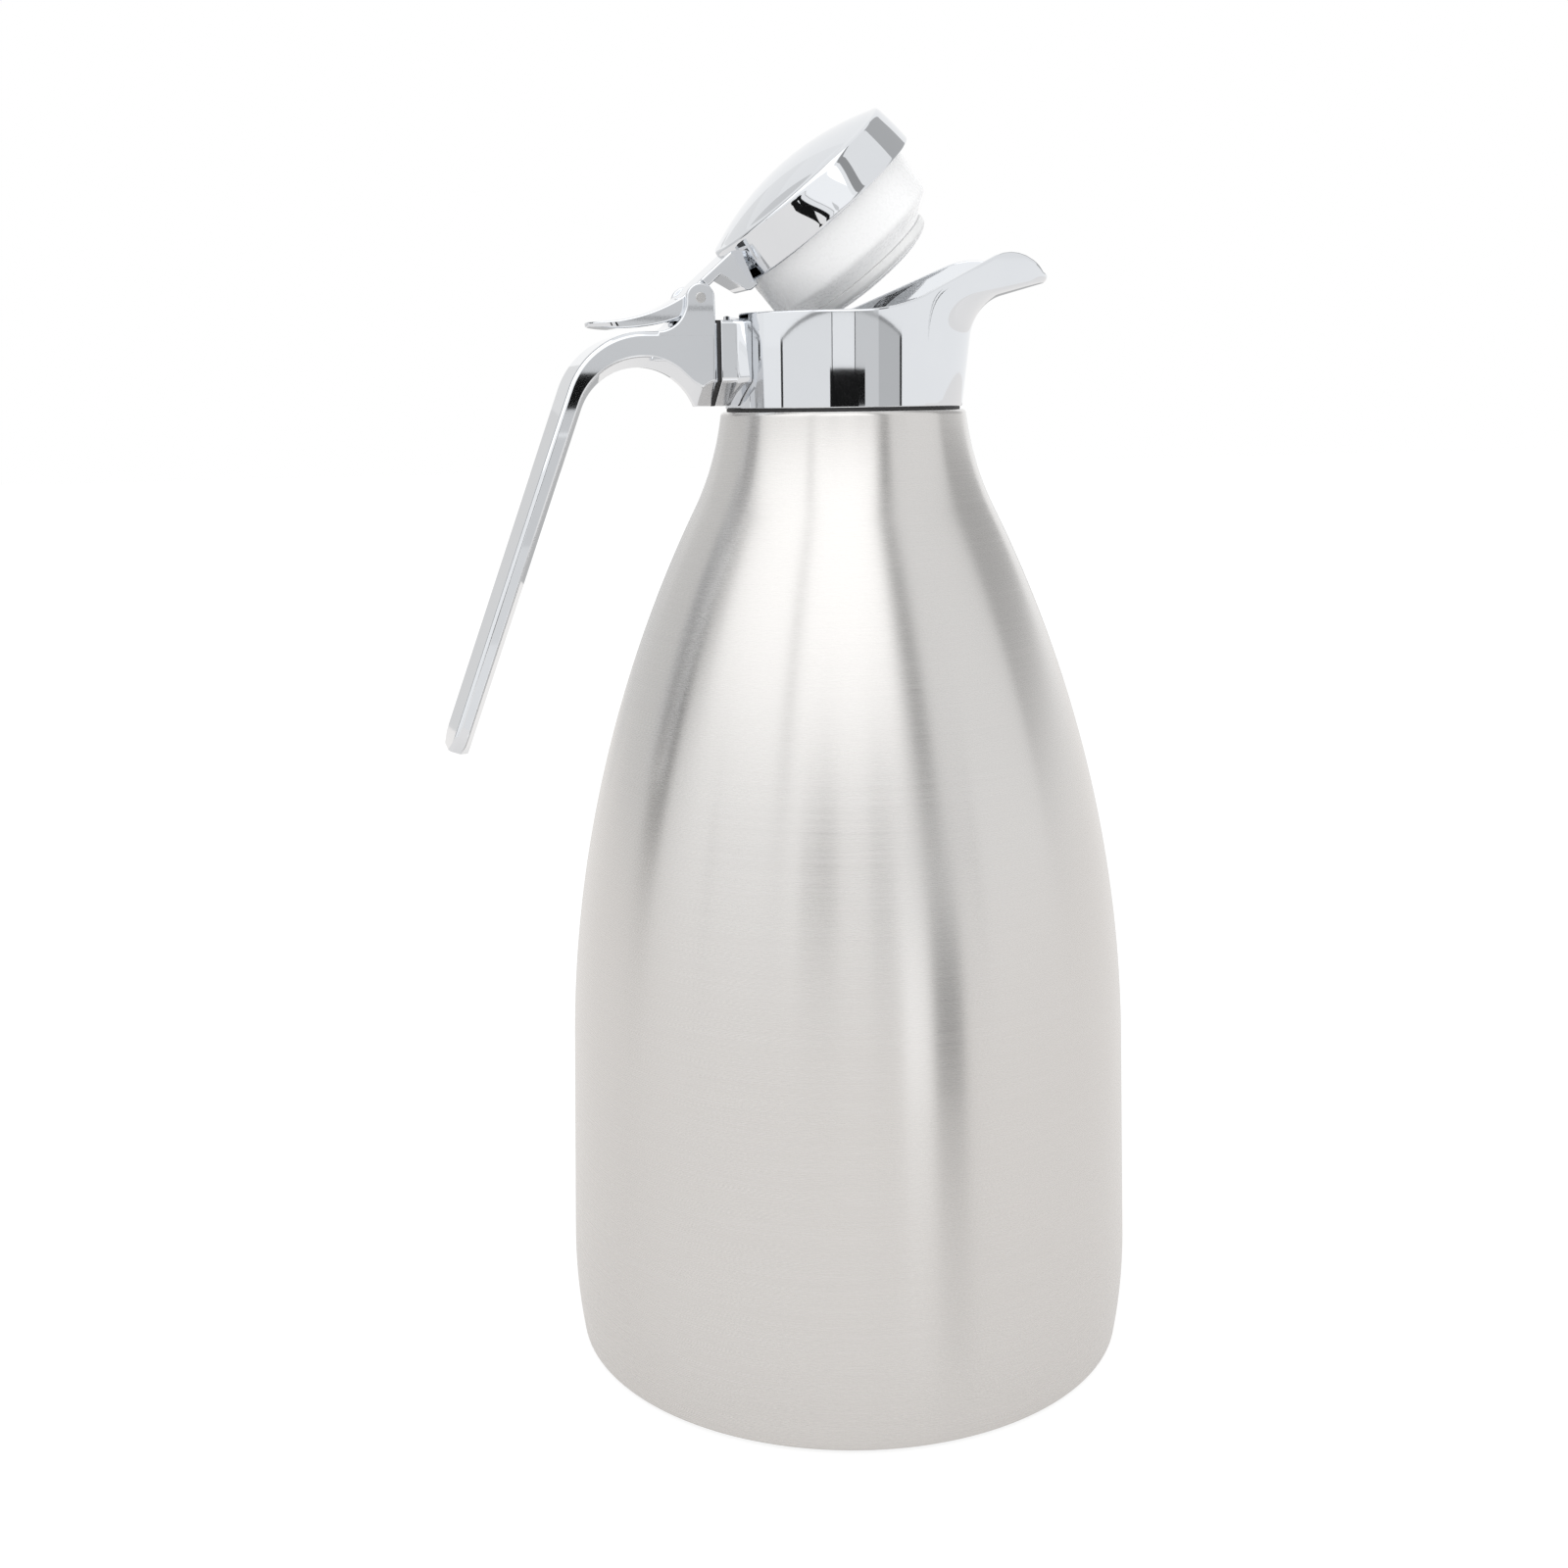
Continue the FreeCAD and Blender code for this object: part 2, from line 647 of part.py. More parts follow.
def keel_stations():
    """Points down the middle of the spout's underside as (reach, height, slant): a flared line,
    a bend and a raked line out to the lip. The slant is the angle of the outward normal."""
    flare_c, flare_s = cosine(d.flare_angle), sine(d.flare_angle)
    rake_c, rake_s = cosine(d.rake_angle), sine(d.rake_angle)
    low_reach = d.collar_radius + d.spout_root
    low = flare_c * low_reach - flare_s * COLLAR_BOTTOM + d.spout_bend
    high = rake_s * SPOUT_TIP - rake_c * LIP_LEVEL + d.spout_bend
    spread = flare_c * rake_c - flare_s * rake_s
    centre = ((rake_c * low - flare_s * high) / spread, (rake_s * low - flare_c * high) / spread)
    stations = [(low_reach, COLLAR_BOTTOM, d.flare_angle)]
    last_slant = 90 - d.rake_angle
    for share in (0, 0.25, 0.5, 0.75, 1):
        slant = d.flare_angle + (last_slant - d.flare_angle) * share
        reach = centre[0] - d.spout_bend * cosine(slant)
        stations.append((reach, centre[1] + d.spout_bend * sine(slant), slant))
    stations.append((SPOUT_TIP, LIP_LEVEL, last_slant))
    return stations


def collar_section(body, name, back, nose, reach, height):
    """Plan of the collar at one height: the round back, two tangent sides and the round nose."""
    sketch = sketch_on(body, name, "XY_Plane", height)
    centre = reach - nose
    lean = (back - nose) / centre
    side = root(1 - lean * lean)
    draw(sketch, [
        (centre + nose * lean, -nose * side, nose, 1),
        (centre + nose * lean, nose * side),
        (back * lean, back * side, back, 1),
        (-back, 0, back, 1),
        (back * lean, -back * side),
    ])
    return sketch


def nose_at(reach):
    """Nose radius of the plan whose spout reaches this far: round at the wall, narrow at the lip."""
    share = (reach - d.collar_radius) / (SPOUT_TIP - d.collar_radius)
    return d.collar_radius - (d.collar_radius - d.spout_nose_radius) * share


def make_pouring_collar():
    body = new_body("pouring_collar")
    above = CREST_LEVEL + d.collar_wall
    stations = keel_stations()
    outside = []
    for index, (reach, height, _) in enumerate(stations):
        name = f"collar_outside_{index}"
        outside.append(collar_section(body, name, d.collar_radius, nose_at(reach), reach, height))
    loft_runs(body, "PartDesign::AdditiveLoft", outside)
    pad(body, outside[-1], above - LIP_LEVEL)

    boss = sketch_on(body, "handle_boss", "YZ_Plane", -BOSS_REACH)
    draw(boss, root_section(BOSS_TOP))
    pad(body, boss, d.collar_wall + BOSS_REACH - d.collar_radius + d.collar_wall)

    bore = sketch_on(body, "neck_bore", "XY_Plane", COLLAR_BOTTOM)
    circles(bore, [(0, 0)], STUB_RADIUS + d.fit_gap)
    pocket(body, bore, COLLAR_BORE_TOP - COLLAR_BOTTOM, reverse=True)

    inside = []
    wall = d.collar_wall
    low_reach = stations[0][0] + tangent(d.flare_angle) * (COLLAR_BORE_TOP - COLLAR_BOTTOM)
    places = [(low_reach - wall, COLLAR_BORE_TOP, nose_at(low_reach))]
    for reach, height, slant in stations[1:]:
        places.append((reach - wall * cosine(slant), height + wall * sine(slant), nose_at(reach)))
    for index, (reach, height, nose) in enumerate(places):
        name = f"collar_inside_{index}"
        inside.append(collar_section(body, name, d.collar_radius - wall, nose - wall, reach, height))
    loft_runs(body, "PartDesign::SubtractiveLoft", inside)
    pocket(body, inside[-1], above - LIP_LEVEL, reverse=True)

    rim = sketch_on(body, "rim_line", "XZ_Plane")
    draw(rim, rim_outline(above + wall))
    pocket(body, rim, 4 * d.collar_radius, symmetric=True)

    half_notch = LEVER_HALF_WIDTH + d.notch_gap
    notch = sketch_on(body, "lever_notch", "YZ_Plane", -d.post_radius)
    notch_floor = PIN_LEVEL - d.block_drop - d.notch_gap
    draw(notch, rectangle(-half_notch, notch_floor, half_notch, above))
    pocket(body, notch, d.collar_radius + wall - d.post_radius)

    screw_holes = sketch_on(body, "screw_holes", "YZ_Plane", -BOSS_REACH)
    circles(screw_holes, handle_screw_places(), d.handle_screw_radius + d.fit_gap)
    pocket(body, screw_holes, BOSS_REACH - d.collar_radius + 3 * wall, reverse=True)
    screw_seats = sketch_on(body, "screw_seats", "YZ_Plane", -HANDLE_SCREW_SEAT)
    circles(screw_seats, handle_screw_places(), d.handle_screw_head_radius + d.side_gap)
    pocket(body, screw_seats, HANDLE_SCREW_SEAT - d.collar_radius + 3 * wall, reverse=True)
    return body


def rim_outline(top):
    """Everything above the collar's rim in side view: level at the back, a long rise, the crest
    of the spout and the fall to its lip."""
    rise_c, rise_s = cosine(d.rise_angle), sine(d.rise_angle)
    fall_c, fall_s = cosine(d.fall_angle), sine(d.fall_angle)
    back = -2 * d.collar_radius
    front = SPOUT_TIP + d.spout_nose_radius
    return [
        (back, RIM_LEVEL),
        (d.rim_rise_start, RIM_LEVEL, d.rim_rise_radius, 1),
        (d.rim_rise_start + d.rim_rise_radius * rise_s, RIM_LEVEL + d.rim_rise_radius * (1 - rise_c)),
        (CREST_REACH - d.crest_radius * rise_s, CREST_LEVEL - d.crest_radius * (1 - rise_c),
         d.crest_radius, -1),
        (CREST_REACH + d.crest_radius * fall_s, CREST_LEVEL - d.crest_radius * (1 - fall_c)),
        (SPOUT_TIP, LIP_RIM),
        (front, LIP_RIM),
        (front, top),
        (back, top),
    ]


def root_section(top):
    """Section shared by the collar's boss, the gasket and the handle's root: flat sides and a
    bottom bevelled to a narrow keel."""
    half = d.handle_half_width
    keel = d.keel_half_width
    return [
        (-keel, BOSS_BOTTOM),
        (keel, BOSS_BOTTOM),
        (half, BOSS_SIDE_BOTTOM),
        (half, top),
        (-half, top),
        (-half, BOSS_SIDE_BOTTOM),
    ]


def make_neck_gasket():
    inner = STUB_RADIUS + d.fit_gap
    outer = d.collar_radius - d.side_gap
    return turned("neck_gasket", rectangle(inner, d.shoulder_top, outer, COLLAR_BOTTOM))


# Handle

def handle_screw_places():
    return [(-d.handle_screw_offset, HANDLE_SCREW_LEVEL), (d.handle_screw_offset, HANDLE_SCREW_LEVEL)]


def handle_outline():
    """Side view of the handle: root, finger arc, grip, outer bend, arm and hinge ear."""
    lean_c, lean_s = cosine(d.grip_angle), sine(d.grip_angle)
    grip_start = (-FINGER_REACH - FINGER_RADIUS * lean_c, FINGER_LEVEL + FINGER_RADIUS * lean_s)
    grip_end = (grip_start[0] - d.grip_length * lean_s, grip_start[1] - d.grip_length * lean_c)
    bend_end = (-BEND_REACH - d.bend_radius * lean_c, BEND_LEVEL + d.bend_radius * lean_s)
    across = (bend_end[0] - grip_start[0]) * lean_c * -1 + (bend_end[1] - grip_start[1]) * lean_s
    tip = (grip_end[0] - across * lean_c, grip_end[1] + across * lean_s)
    ear_back = -PIN_REACH - d.ear_radius
    return [
        (-HANDLE_FACE, BOSS_BOTTOM),
        (-HANDLE_FACE, BOSS_TOP),
        (d.ear_radius - PIN_REACH, PIN_LEVEL, d.ear_radius, 1),
        (-PIN_REACH, PIN_LEVEL + d.ear_radius, d.ear_radius, 1),
        (ear_back, PIN_LEVEL),
        (ear_back, ARM_TOP + EAR_SWEEP, EAR_SWEEP, -1),
        (-ARM_ROOT, ARM_TOP),
        (-BEND_REACH, ARM_TOP, d.bend_radius, 1),
        bend_end,
        tip,
        grip_end,
        grip_start + (FINGER_RADIUS, -1),
        (-ROOT_REACH, BOSS_BOTTOM),
    ]


def make_handle():
    body = new_body("handle")
    half = d.handle_half_width
    side = sketch_on(body, "handle_side", "XZ_Plane")
    draw(side, handle_outline())
    block = pad(body, side, 2 * half, symmetric=True)

    under = bevel(body, block, under_side, d.grip_bevel, half - d.keel_half_width)
    outer = bevel(body, under, outer_side, d.edge_bevel, d.edge_bevel)
    corners = body.newObject("PartDesign::Fillet", "grip_corners")
    corners.Base = (outer, edge_names(outer, grip_end_corner))
    corners.setExpression("Radius", d.grip_corner.text)
    DOC.recompute()

    for side_sign, name in ((-1, "near"), (1, "far")):
        wedge = sketch_on(body, f"root_wedge_{name}", "YZ_Plane", -HANDLE_FACE)
        keel = (side_sign * d.keel_half_width, BOSS_BOTTOM)
        draw(wedge, [keel, (side_sign * half, BOSS_BOTTOM), (side_sign * half, BOSS_SIDE_BOTTOM)])
        pocket(body, wedge, ROOT_REACH - HANDLE_FACE + d.grip_bevel)

    slot_half = half - d.ear_thickness
    slot = sketch_on(body, "lever_slot", "YZ_Plane", -HANDLE_FACE)
    draw(slot, rectangle(-slot_half, SLOT_FLOOR, slot_half, PIN_LEVEL + 2 * d.ear_radius))
    pocket(body, slot, ARM_ROOT - HANDLE_FACE + EAR_SWEEP)
    pin_hole = sketch_on(body, "pin_hole", "XZ_Plane")
    circles(pin_hole, [(-PIN_REACH, PIN_LEVEL)], d.pin_radius + d.press_gap)
    pocket(body, pin_hole, 3 * half, symmetric=True)
    screw_holes = sketch_on(body, "root_screw_holes", "YZ_Plane", -HANDLE_FACE)
    circles(screw_holes, handle_screw_places(), d.handle_screw_radius + d.press_gap)
    pocket(body, screw_holes, d.handle_screw_depth)
    return body


def bevel(body, base, test, side_width, face_width):
    """Bevels the edges of base that pass the test: side_width on the flat side of the piece and
    face_width on the face that runs round it."""
    feature = body.newObject("PartDesign::Chamfer", f"{base.Name}_bevel")
    feature.Base = (base, edge_names(base, test))
    feature.ChamferType = "Two distances"
    feature.FlipDirection = True
    feature.setExpression("Size", side_width.text)
    feature.setExpression("Size2", face_width.text)
    DOC.recompute()
    return feature


def on_side(point):
    return abs(abs(point.y) - d.handle_half_width.value) < TOUCH


def grip_offset(point, reach, level):
    """Distance of a point from a bend's centre, measured square to the straight grip."""
    lean = math.radians(d.grip_angle.value)
    return (point.z - level) * math.sin(lean) - (point.x + reach) * math.cos(lean)


def under_side(point):
    """True on the finger arc and the straight inner line of the grip, at the handle's sides."""
    reach, level, radius = FINGER_REACH.value, FINGER_LEVEL.value, FINGER_RADIUS.value
    on_arc = abs(math.hypot(point.x + reach, point.z - level) - radius) < TOUCH
    on_line = abs(grip_offset(point, reach, level) - radius) < TOUCH
    return on_side(point) and (on_arc or on_line)


def outer_side(point):
    """True on the outer bend, the straight outer line of the grip and the arm's top, at the sides."""
    reach, radius = BEND_REACH.value, d.bend_radius.value
    level = BEND_LEVEL.value
    on_arc = abs(math.hypot(point.x + reach, point.z - level) - radius) < TOUCH
    on_line = abs(grip_offset(point, reach, level) - radius) < TOUCH
    on_arm = abs(point.z - ARM_TOP.value) < TOUCH
    return on_side(point) and (on_arc or on_line or on_arm)


def grip_end_corner(point):
    """True on the edges between the handle's sides and the end of the grip."""
    lean = math.radians(d.grip_angle.value)
    drop = FINGER_LEVEL.value - point.z
    reach = -point.x - FINGER_REACH.value
    run = drop * math.cos(lean) + reach * math.sin(lean)
    return on_side(point) and abs(run - d.grip_length.value) < TOUCH


def make_handle_gasket():
    body = new_body("handle_gasket")
    section = sketch_on(body, "handle_gasket_section", "YZ_Plane", -HANDLE_FACE)
    draw(section, root_section(BOSS_TOP))
    pad(body, section, d.handle_gasket_thickness)
    holes = sketch_on(body, "handle_gasket_holes", "YZ_Plane", -HANDLE_FACE)
    circles(holes, handle_screw_places(), d.handle_screw_radius + d.fit_gap)
    pocket(body, holes, d.handle_gasket_thickness, reverse=True)
    return body


def make_screw(label, place, seat, head, shank):
    """Screw along X: place is (across, up), its head is inside the seat and its shank runs out.
    head and shank are (radius, length) pairs."""
    body = new_body(label)
    shank_end = sketch_on(body, f"{label}_shank", "YZ_Plane", -seat)
    circles(shank_end, [place], shank[0])
    pad(body, shank_end, shank[1], reverse=True)
    head_end = sketch_on(body, f"{label}_head", "YZ_Plane", -seat)
    circles(head_end, [place], head[0])
    pad(body, head_end, head[1])
    return body


def make_handle_screws():
    head = (d.handle_screw_head_radius, d.handle_screw_head_height)
    length = HANDLE_FACE + d.handle_screw_depth - d.side_gap - HANDLE_SCREW_SEAT
    places = zip(("handle_screw_near", "handle_screw_far"), handle_screw_places())
    shank = (d.handle_screw_radius, length)
    return [make_screw(name, place, HANDLE_SCREW_SEAT, head, shank) for name, place in places]


def make_hinge_pin():
    pin = DOC.addObject("Part::Cylinder", "hinge_pin")
    pin.Placement = FreeCAD.Placement(FreeCAD.Vector(), FreeCAD.Rotation(FreeCAD.Vector(1, 0, 0), 90))
    pin.setExpression("Radius", d.pin_radius.text)
    pin.setExpression("Height", (2 * d.handle_half_width).text)
    pin.setExpression("Placement.Base.x", (-PIN_REACH).text)
    pin.setExpression("Placement.Base.y", d.handle_half_width.text)
    pin.setExpression("Placement.Base.z", PIN_LEVEL.text)
    return pin


# Lid, lever and stopper, drawn with the lid shut

def dome_height(radius, depth):
    """Height of the lid's dome at a radius, measured depth below its outer surface."""
    sweep = DOME_RADIUS - depth
    return LID_TOP - DOME_RADIUS + root(sweep * sweep - radius * radius)


def make_lid_cover():
    body = turned("lid_cover", [
        (0, WASHER_BOTTOM + d.stopper_screw_length + d.side_gap),
        (SCREW_BORE, WASHER_BOTTOM + d.stopper_screw_length + d.side_gap),
        (SCREW_BORE, PLATE_TOP),
        (d.post_radius, PLATE_TOP),
        (d.post_radius, dome_height(d.post_radius, d.lid_wall), DOME_RADIUS - d.lid_wall, -1),
        (BAND_INNER_RADIUS - d.lid_wall, dome_height(BAND_INNER_RADIUS - d.lid_wall, d.lid_wall)),
        (BAND_INNER_RADIUS, BAND_TOP - d.lid_wall),
        (BAND_INNER_RADIUS, BAND_BOTTOM),
        (BAND_BOTTOM_RADIUS, BAND_BOTTOM),
        (BAND_TOP_RADIUS, BAND_TOP),
        (DOME_EDGE_RADIUS, dome_height(DOME_EDGE_RADIUS, as_size(0)), DOME_RADIUS, 1),
        (0, LID_TOP),
    ])
    holes = sketch_on(body, "band_screw_holes", "YZ_Plane", BAND_INNER_RADIUS / -2)
    circles(holes, lever_screw_places(), d.lever_screw_radius + d.fit_gap)
    pocket(body, holes, BAND_BOTTOM_RADIUS - BAND_INNER_RADIUS / 2)
    return body


def lever_screw_places():
    return [(-d.lever_screw_offset, LEVER_SCREW_LEVEL), (d.lever_screw_offset, LEVER_SCREW_LEVEL)]


def lever_outline():
    """Side view of the lever: arm, thumb plate, knuckle and the block that meets the lid's band."""
    knuckle_c, knuckle_s = cosine(d.knuckle_angle), sine(d.knuckle_angle)
    arm_start = root(d.knuckle_radius * d.knuckle_radius - d.arm_under * d.arm_under)
    band_side = PIN_REACH - BAND_INNER_RADIUS
    foot = BLOCK_FOOT_REACH + d.block_round
    lever_c, lever_s = cosine(d.lever_tip_angle), sine(d.lever_tip_angle)
    tip_low = (-d.lever_tip_reach - d.lever_tip_thickness * lever_s,
               d.lever_tip_rise - d.lever_tip_thickness * lever_c)
    line = [
        (band_side, d.arm_rise),
        (-d.lever_root_reach, d.arm_rise, d.lever_top_sweep, -1),
        (-d.lever_tip_reach, d.lever_tip_rise),
        tip_low + (d.lever_under_sweep, 1),
        (-d.knuckle_radius * knuckle_c, -d.knuckle_radius * knuckle_s, d.knuckle_radius, 1),
        (arm_start, d.arm_under),
        (BLOCK_FOOT_REACH - d.block_slope, d.arm_under),
        (BLOCK_FOOT_REACH, d.block_round - d.block_drop, d.block_round, 1),
        (foot, -d.block_drop),
        (band_side, -d.block_drop),
    ]
    return [(entry[0] - PIN_REACH, entry[1] + PIN_LEVEL) + entry[2:] for entry in line]


def make_thumb_lever():
    body = new_body("thumb_lever")
    half = LEVER_HALF_WIDTH
    side = sketch_on(body, "lever_side", "XZ_Plane")
    draw(side, lever_outline())
    block = pad(body, side, 2 * half, symmetric=True)
    corners = body.newObject("PartDesign::Fillet", "lever_tip_corners")
    corners.Base = (block, edge_names(block, lever_tip_edge))
    corners.setExpression("Radius", d.lever_tip_corner.text)
    DOC.recompute()

    seat = sketch_on(body, "band_seat", "XZ_Plane")
    slope = d.band_taper / d.band_height
    low = BAND_BOTTOM - d.block_drop
    high = BAND_TOP + d.block_drop
    low_radius = BAND_BOTTOM_RADIUS + slope * (BAND_BOTTOM - low) + d.press_gap
    high_radius = BAND_BOTTOM_RADIUS + slope * (BAND_BOTTOM - high) + d.press_gap
    draw(seat, [(0, low), (low_radius, low), (high_radius, high), (0, high)])
    groove = body.newObject("PartDesign::Groove", "band_seat_cut")
    groove.Profile = seat
    groove.ReferenceAxis = (seat, ["V_Axis"])
    groove.Angle = 360
    DOC.recompute()

    pin_hole = sketch_on(body, "knuckle_hole", "XZ_Plane")
    circles(pin_hole, [(-PIN_REACH, PIN_LEVEL)], d.pin_radius + d.pin_gap)
    pocket(body, pin_hole, 3 * half, symmetric=True)
    holes = sketch_on(body, "block_screw_holes", "YZ_Plane", BAND_INNER_RADIUS / -2)
    circles(holes, lever_screw_places(), d.lever_screw_radius + d.press_gap)
    pocket(body, holes, LEVER_SCREW_REACH - BAND_INNER_RADIUS / 2)
    return body


def lever_tip_edge(point):
    """True on the two short edges at the tip of the thumb plate."""
    reach = -point.x - PIN_REACH.value
    return reach > d.lever_tip_reach.value - TOUCH and abs(point.y) > d.lever_tip_corner.value


def make_lever_screws():
    head = (d.lever_screw_head_radius, d.lever_screw_head_height)
    head_side = d.lever_screw_offset + d.lever_screw_head_radius
    seat = root(BAND_INNER_RADIUS * BAND_INNER_RADIUS - head_side * head_side) - d.press_gap
    shank = (d.lever_screw_radius, LEVER_SCREW_REACH - d.side_gap - seat)
    places = zip(("lever_screw_near", "lever_screw_far"), lever_screw_places())
    return [make_screw(name, place, seat, head, shank) for name, place in places]


def make_stopper():
    """Plate under the lid with its screw and washer, and the hollow cup with its foam and seal."""
    spigot_radius = STOPPER_RADIUS - d.stopper_wall - d.fit_gap
    spigot_bottom = STOPPER_TOP - d.spigot_height
    plate = turned("stopper_plate", [
        (d.stopper_screw_radius + d.fit_gap, STOPPER_TOP),
        (spigot_radius - d.stopper_wall, STOPPER_TOP),
        (spigot_radius - d.stopper_wall, spigot_bottom),
        (spigot_radius, spigot_bottom),
        (spigot_radius, STOPPER_TOP),
        (PLATE_RADIUS, STOPPER_TOP),
        (PLATE_RADIUS, PLATE_TOP),
        (d.stopper_screw_radius + d.fit_gap, PLATE_TOP),
    ])
    screw_bottom = WASHER_BOTTOM - d.stopper_screw_head_height
    screw_top = WASHER_BOTTOM + d.stopper_screw_length
    screw = turned("stopper_screw", [
        (0, screw_bottom),
        (d.stopper_screw_head_radius, screw_bottom),
        (d.stopper_screw_head_radius, WASHER_BOTTOM),
        (d.stopper_screw_radius, WASHER_BOTTOM),
        (d.stopper_screw_radius, screw_top),
        (0, screw_top),
    ])
    washer_bore = d.stopper_screw_radius + d.fit_gap
    washer = turned("screw_washer", rectangle(washer_bore, WASHER_BOTTOM, d.washer_radius, STOPPER_TOP))

    seal_top = SEAL_BOTTOM + d.seal_height
    lip_radius = SEAL_BORE + d.seal_lip
    inner_radius = STOPPER_RADIUS - d.stopper_wall
    core_floor = STOPPER_BOTTOM + d.stopper_wall
    inner_shoulder = SHOULDER_LEVEL + d.shoulder_rise
    cup = turned("stopper_cup", [
        (0, STOPPER_BOTTOM),
        (lip_radius - d.seal_lip - d.stopper_wall, STOPPER_BOTTOM),
        (lip_radius, SEAL_BOTTOM - d.seal_rim),
        (lip_radius, SEAL_BOTTOM),
        (SEAL_BORE, SEAL_BOTTOM),
        (SEAL_BORE, seal_top),
        (lip_radius + d.seal_lip, seal_top),
        (SEAL_RADIUS + d.stopper_step_out, STEP_LEVEL),
        (STOPPER_RADIUS, SHOULDER_LEVEL),
        (STOPPER_RADIUS, STOPPER_TOP),
        (inner_radius, STOPPER_TOP),
        (inner_radius, inner_shoulder),
        (CORE_RADIUS, STEP_LEVEL + d.shoulder_rise),
        (CORE_RADIUS, core_floor),
        (0, core_floor),
    ])
    gap = d.side_gap
    foam = turned("stopper_foam", [
        (0, core_floor + gap),
        (CORE_RADIUS - gap, core_floor + gap),
        (CORE_RADIUS - gap, STEP_LEVEL + d.shoulder_rise + gap),
        (inner_radius - gap, inner_shoulder + gap),
        (inner_radius - gap, FOAM_TOP),
        (0, FOAM_TOP),
    ])
    seal_inner = SEAL_BORE + d.press_gap
    seal = turned("stopper_seal", [
        (seal_inner, SEAL_BOTTOM + d.press_gap),
        (SEAL_RADIUS - d.seal_bevel, SEAL_BOTTOM + d.press_gap),
        (SEAL_RADIUS, SEAL_BOTTOM + d.press_gap + d.seal_bevel),
        (SEAL_RADIUS, seal_top - d.press_gap),
        (seal_inner, seal_top - d.press_gap),
    ])
    return [plate, screw, washer, cup, foam, seal]


JUG_PIECES = [
    make_outer_shell(),
    make_inner_liner(),
    *make_base(),
    make_mouth_funnel(),
    make_neck_gasket(),
    make_pouring_collar(),
    make_handle(),
    make_handle_gasket(),
    *make_handle_screws(),
    make_hinge_pin(),
]
LID_PIECES = [make_lid_cover(), make_thumb_lever(), *make_lever_screws(), *make_stopper()]
for lid_piece in LID_PIECES:
    swing_with_lid(lid_piece)
DOC.recompute()

for item in DOC.Objects:
    if "Invalid" in item.State or "Error" in item.State:
        raise RuntimeError(f"{item.Name}: {item.State}")
os.makedirs("parts", exist_ok=True)
for piece in JUG_PIECES + LID_PIECES:
    if piece.Shape.isNull() or not piece.Shape.isValid() or len(piece.Shape.Solids) != 1:
        raise RuntimeError(f"{piece.Label} isn't one valid solid")
    piece.Shape.exportStep(f"parts/{piece.Label}.step")
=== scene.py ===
import math

import bmesh
import bpy
import numpy as np
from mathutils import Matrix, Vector


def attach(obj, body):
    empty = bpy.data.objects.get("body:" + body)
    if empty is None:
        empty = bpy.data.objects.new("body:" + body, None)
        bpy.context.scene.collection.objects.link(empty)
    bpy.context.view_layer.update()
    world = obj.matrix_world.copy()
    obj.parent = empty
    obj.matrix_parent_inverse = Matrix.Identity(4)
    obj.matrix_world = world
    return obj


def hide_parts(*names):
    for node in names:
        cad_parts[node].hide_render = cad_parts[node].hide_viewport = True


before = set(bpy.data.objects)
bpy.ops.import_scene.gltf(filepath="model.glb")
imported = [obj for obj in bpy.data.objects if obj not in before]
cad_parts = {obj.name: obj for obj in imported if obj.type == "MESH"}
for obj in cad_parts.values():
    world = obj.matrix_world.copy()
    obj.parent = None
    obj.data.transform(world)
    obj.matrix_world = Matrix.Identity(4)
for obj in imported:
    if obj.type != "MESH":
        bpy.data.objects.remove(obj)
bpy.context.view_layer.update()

# Thermal coffee server: brushed vessel, chrome collar, handle and lid, white stopper.
# Shapes are worked out in millimetres in the part's own frame and kept in metres.

MM = 0.001
TURN = 2 * math.pi
OPEN_ANGLE = math.radians(40.9)
PIN_REACH, PIN_LEVEL = 39.1, 279.05


# Shader maths

class Wire:
    """One output socket of a shader tree; arithmetic on it adds Math nodes."""

    def __init__(self, paint, socket):
        self.paint = paint
        self.socket = socket

    def maths(self, operation, first, second):
        return self.paint.node("Math", {"operation": operation}, {0: first, 1: second})

    def __add__(self, other):
        return self.maths("ADD", self, other)

    def __sub__(self, other):
        return self.maths("SUBTRACT", self, other)

    def __mul__(self, other):
        return self.maths("MULTIPLY", self, other)

    def __radd__(self, other):
        return self.maths("ADD", other, self)


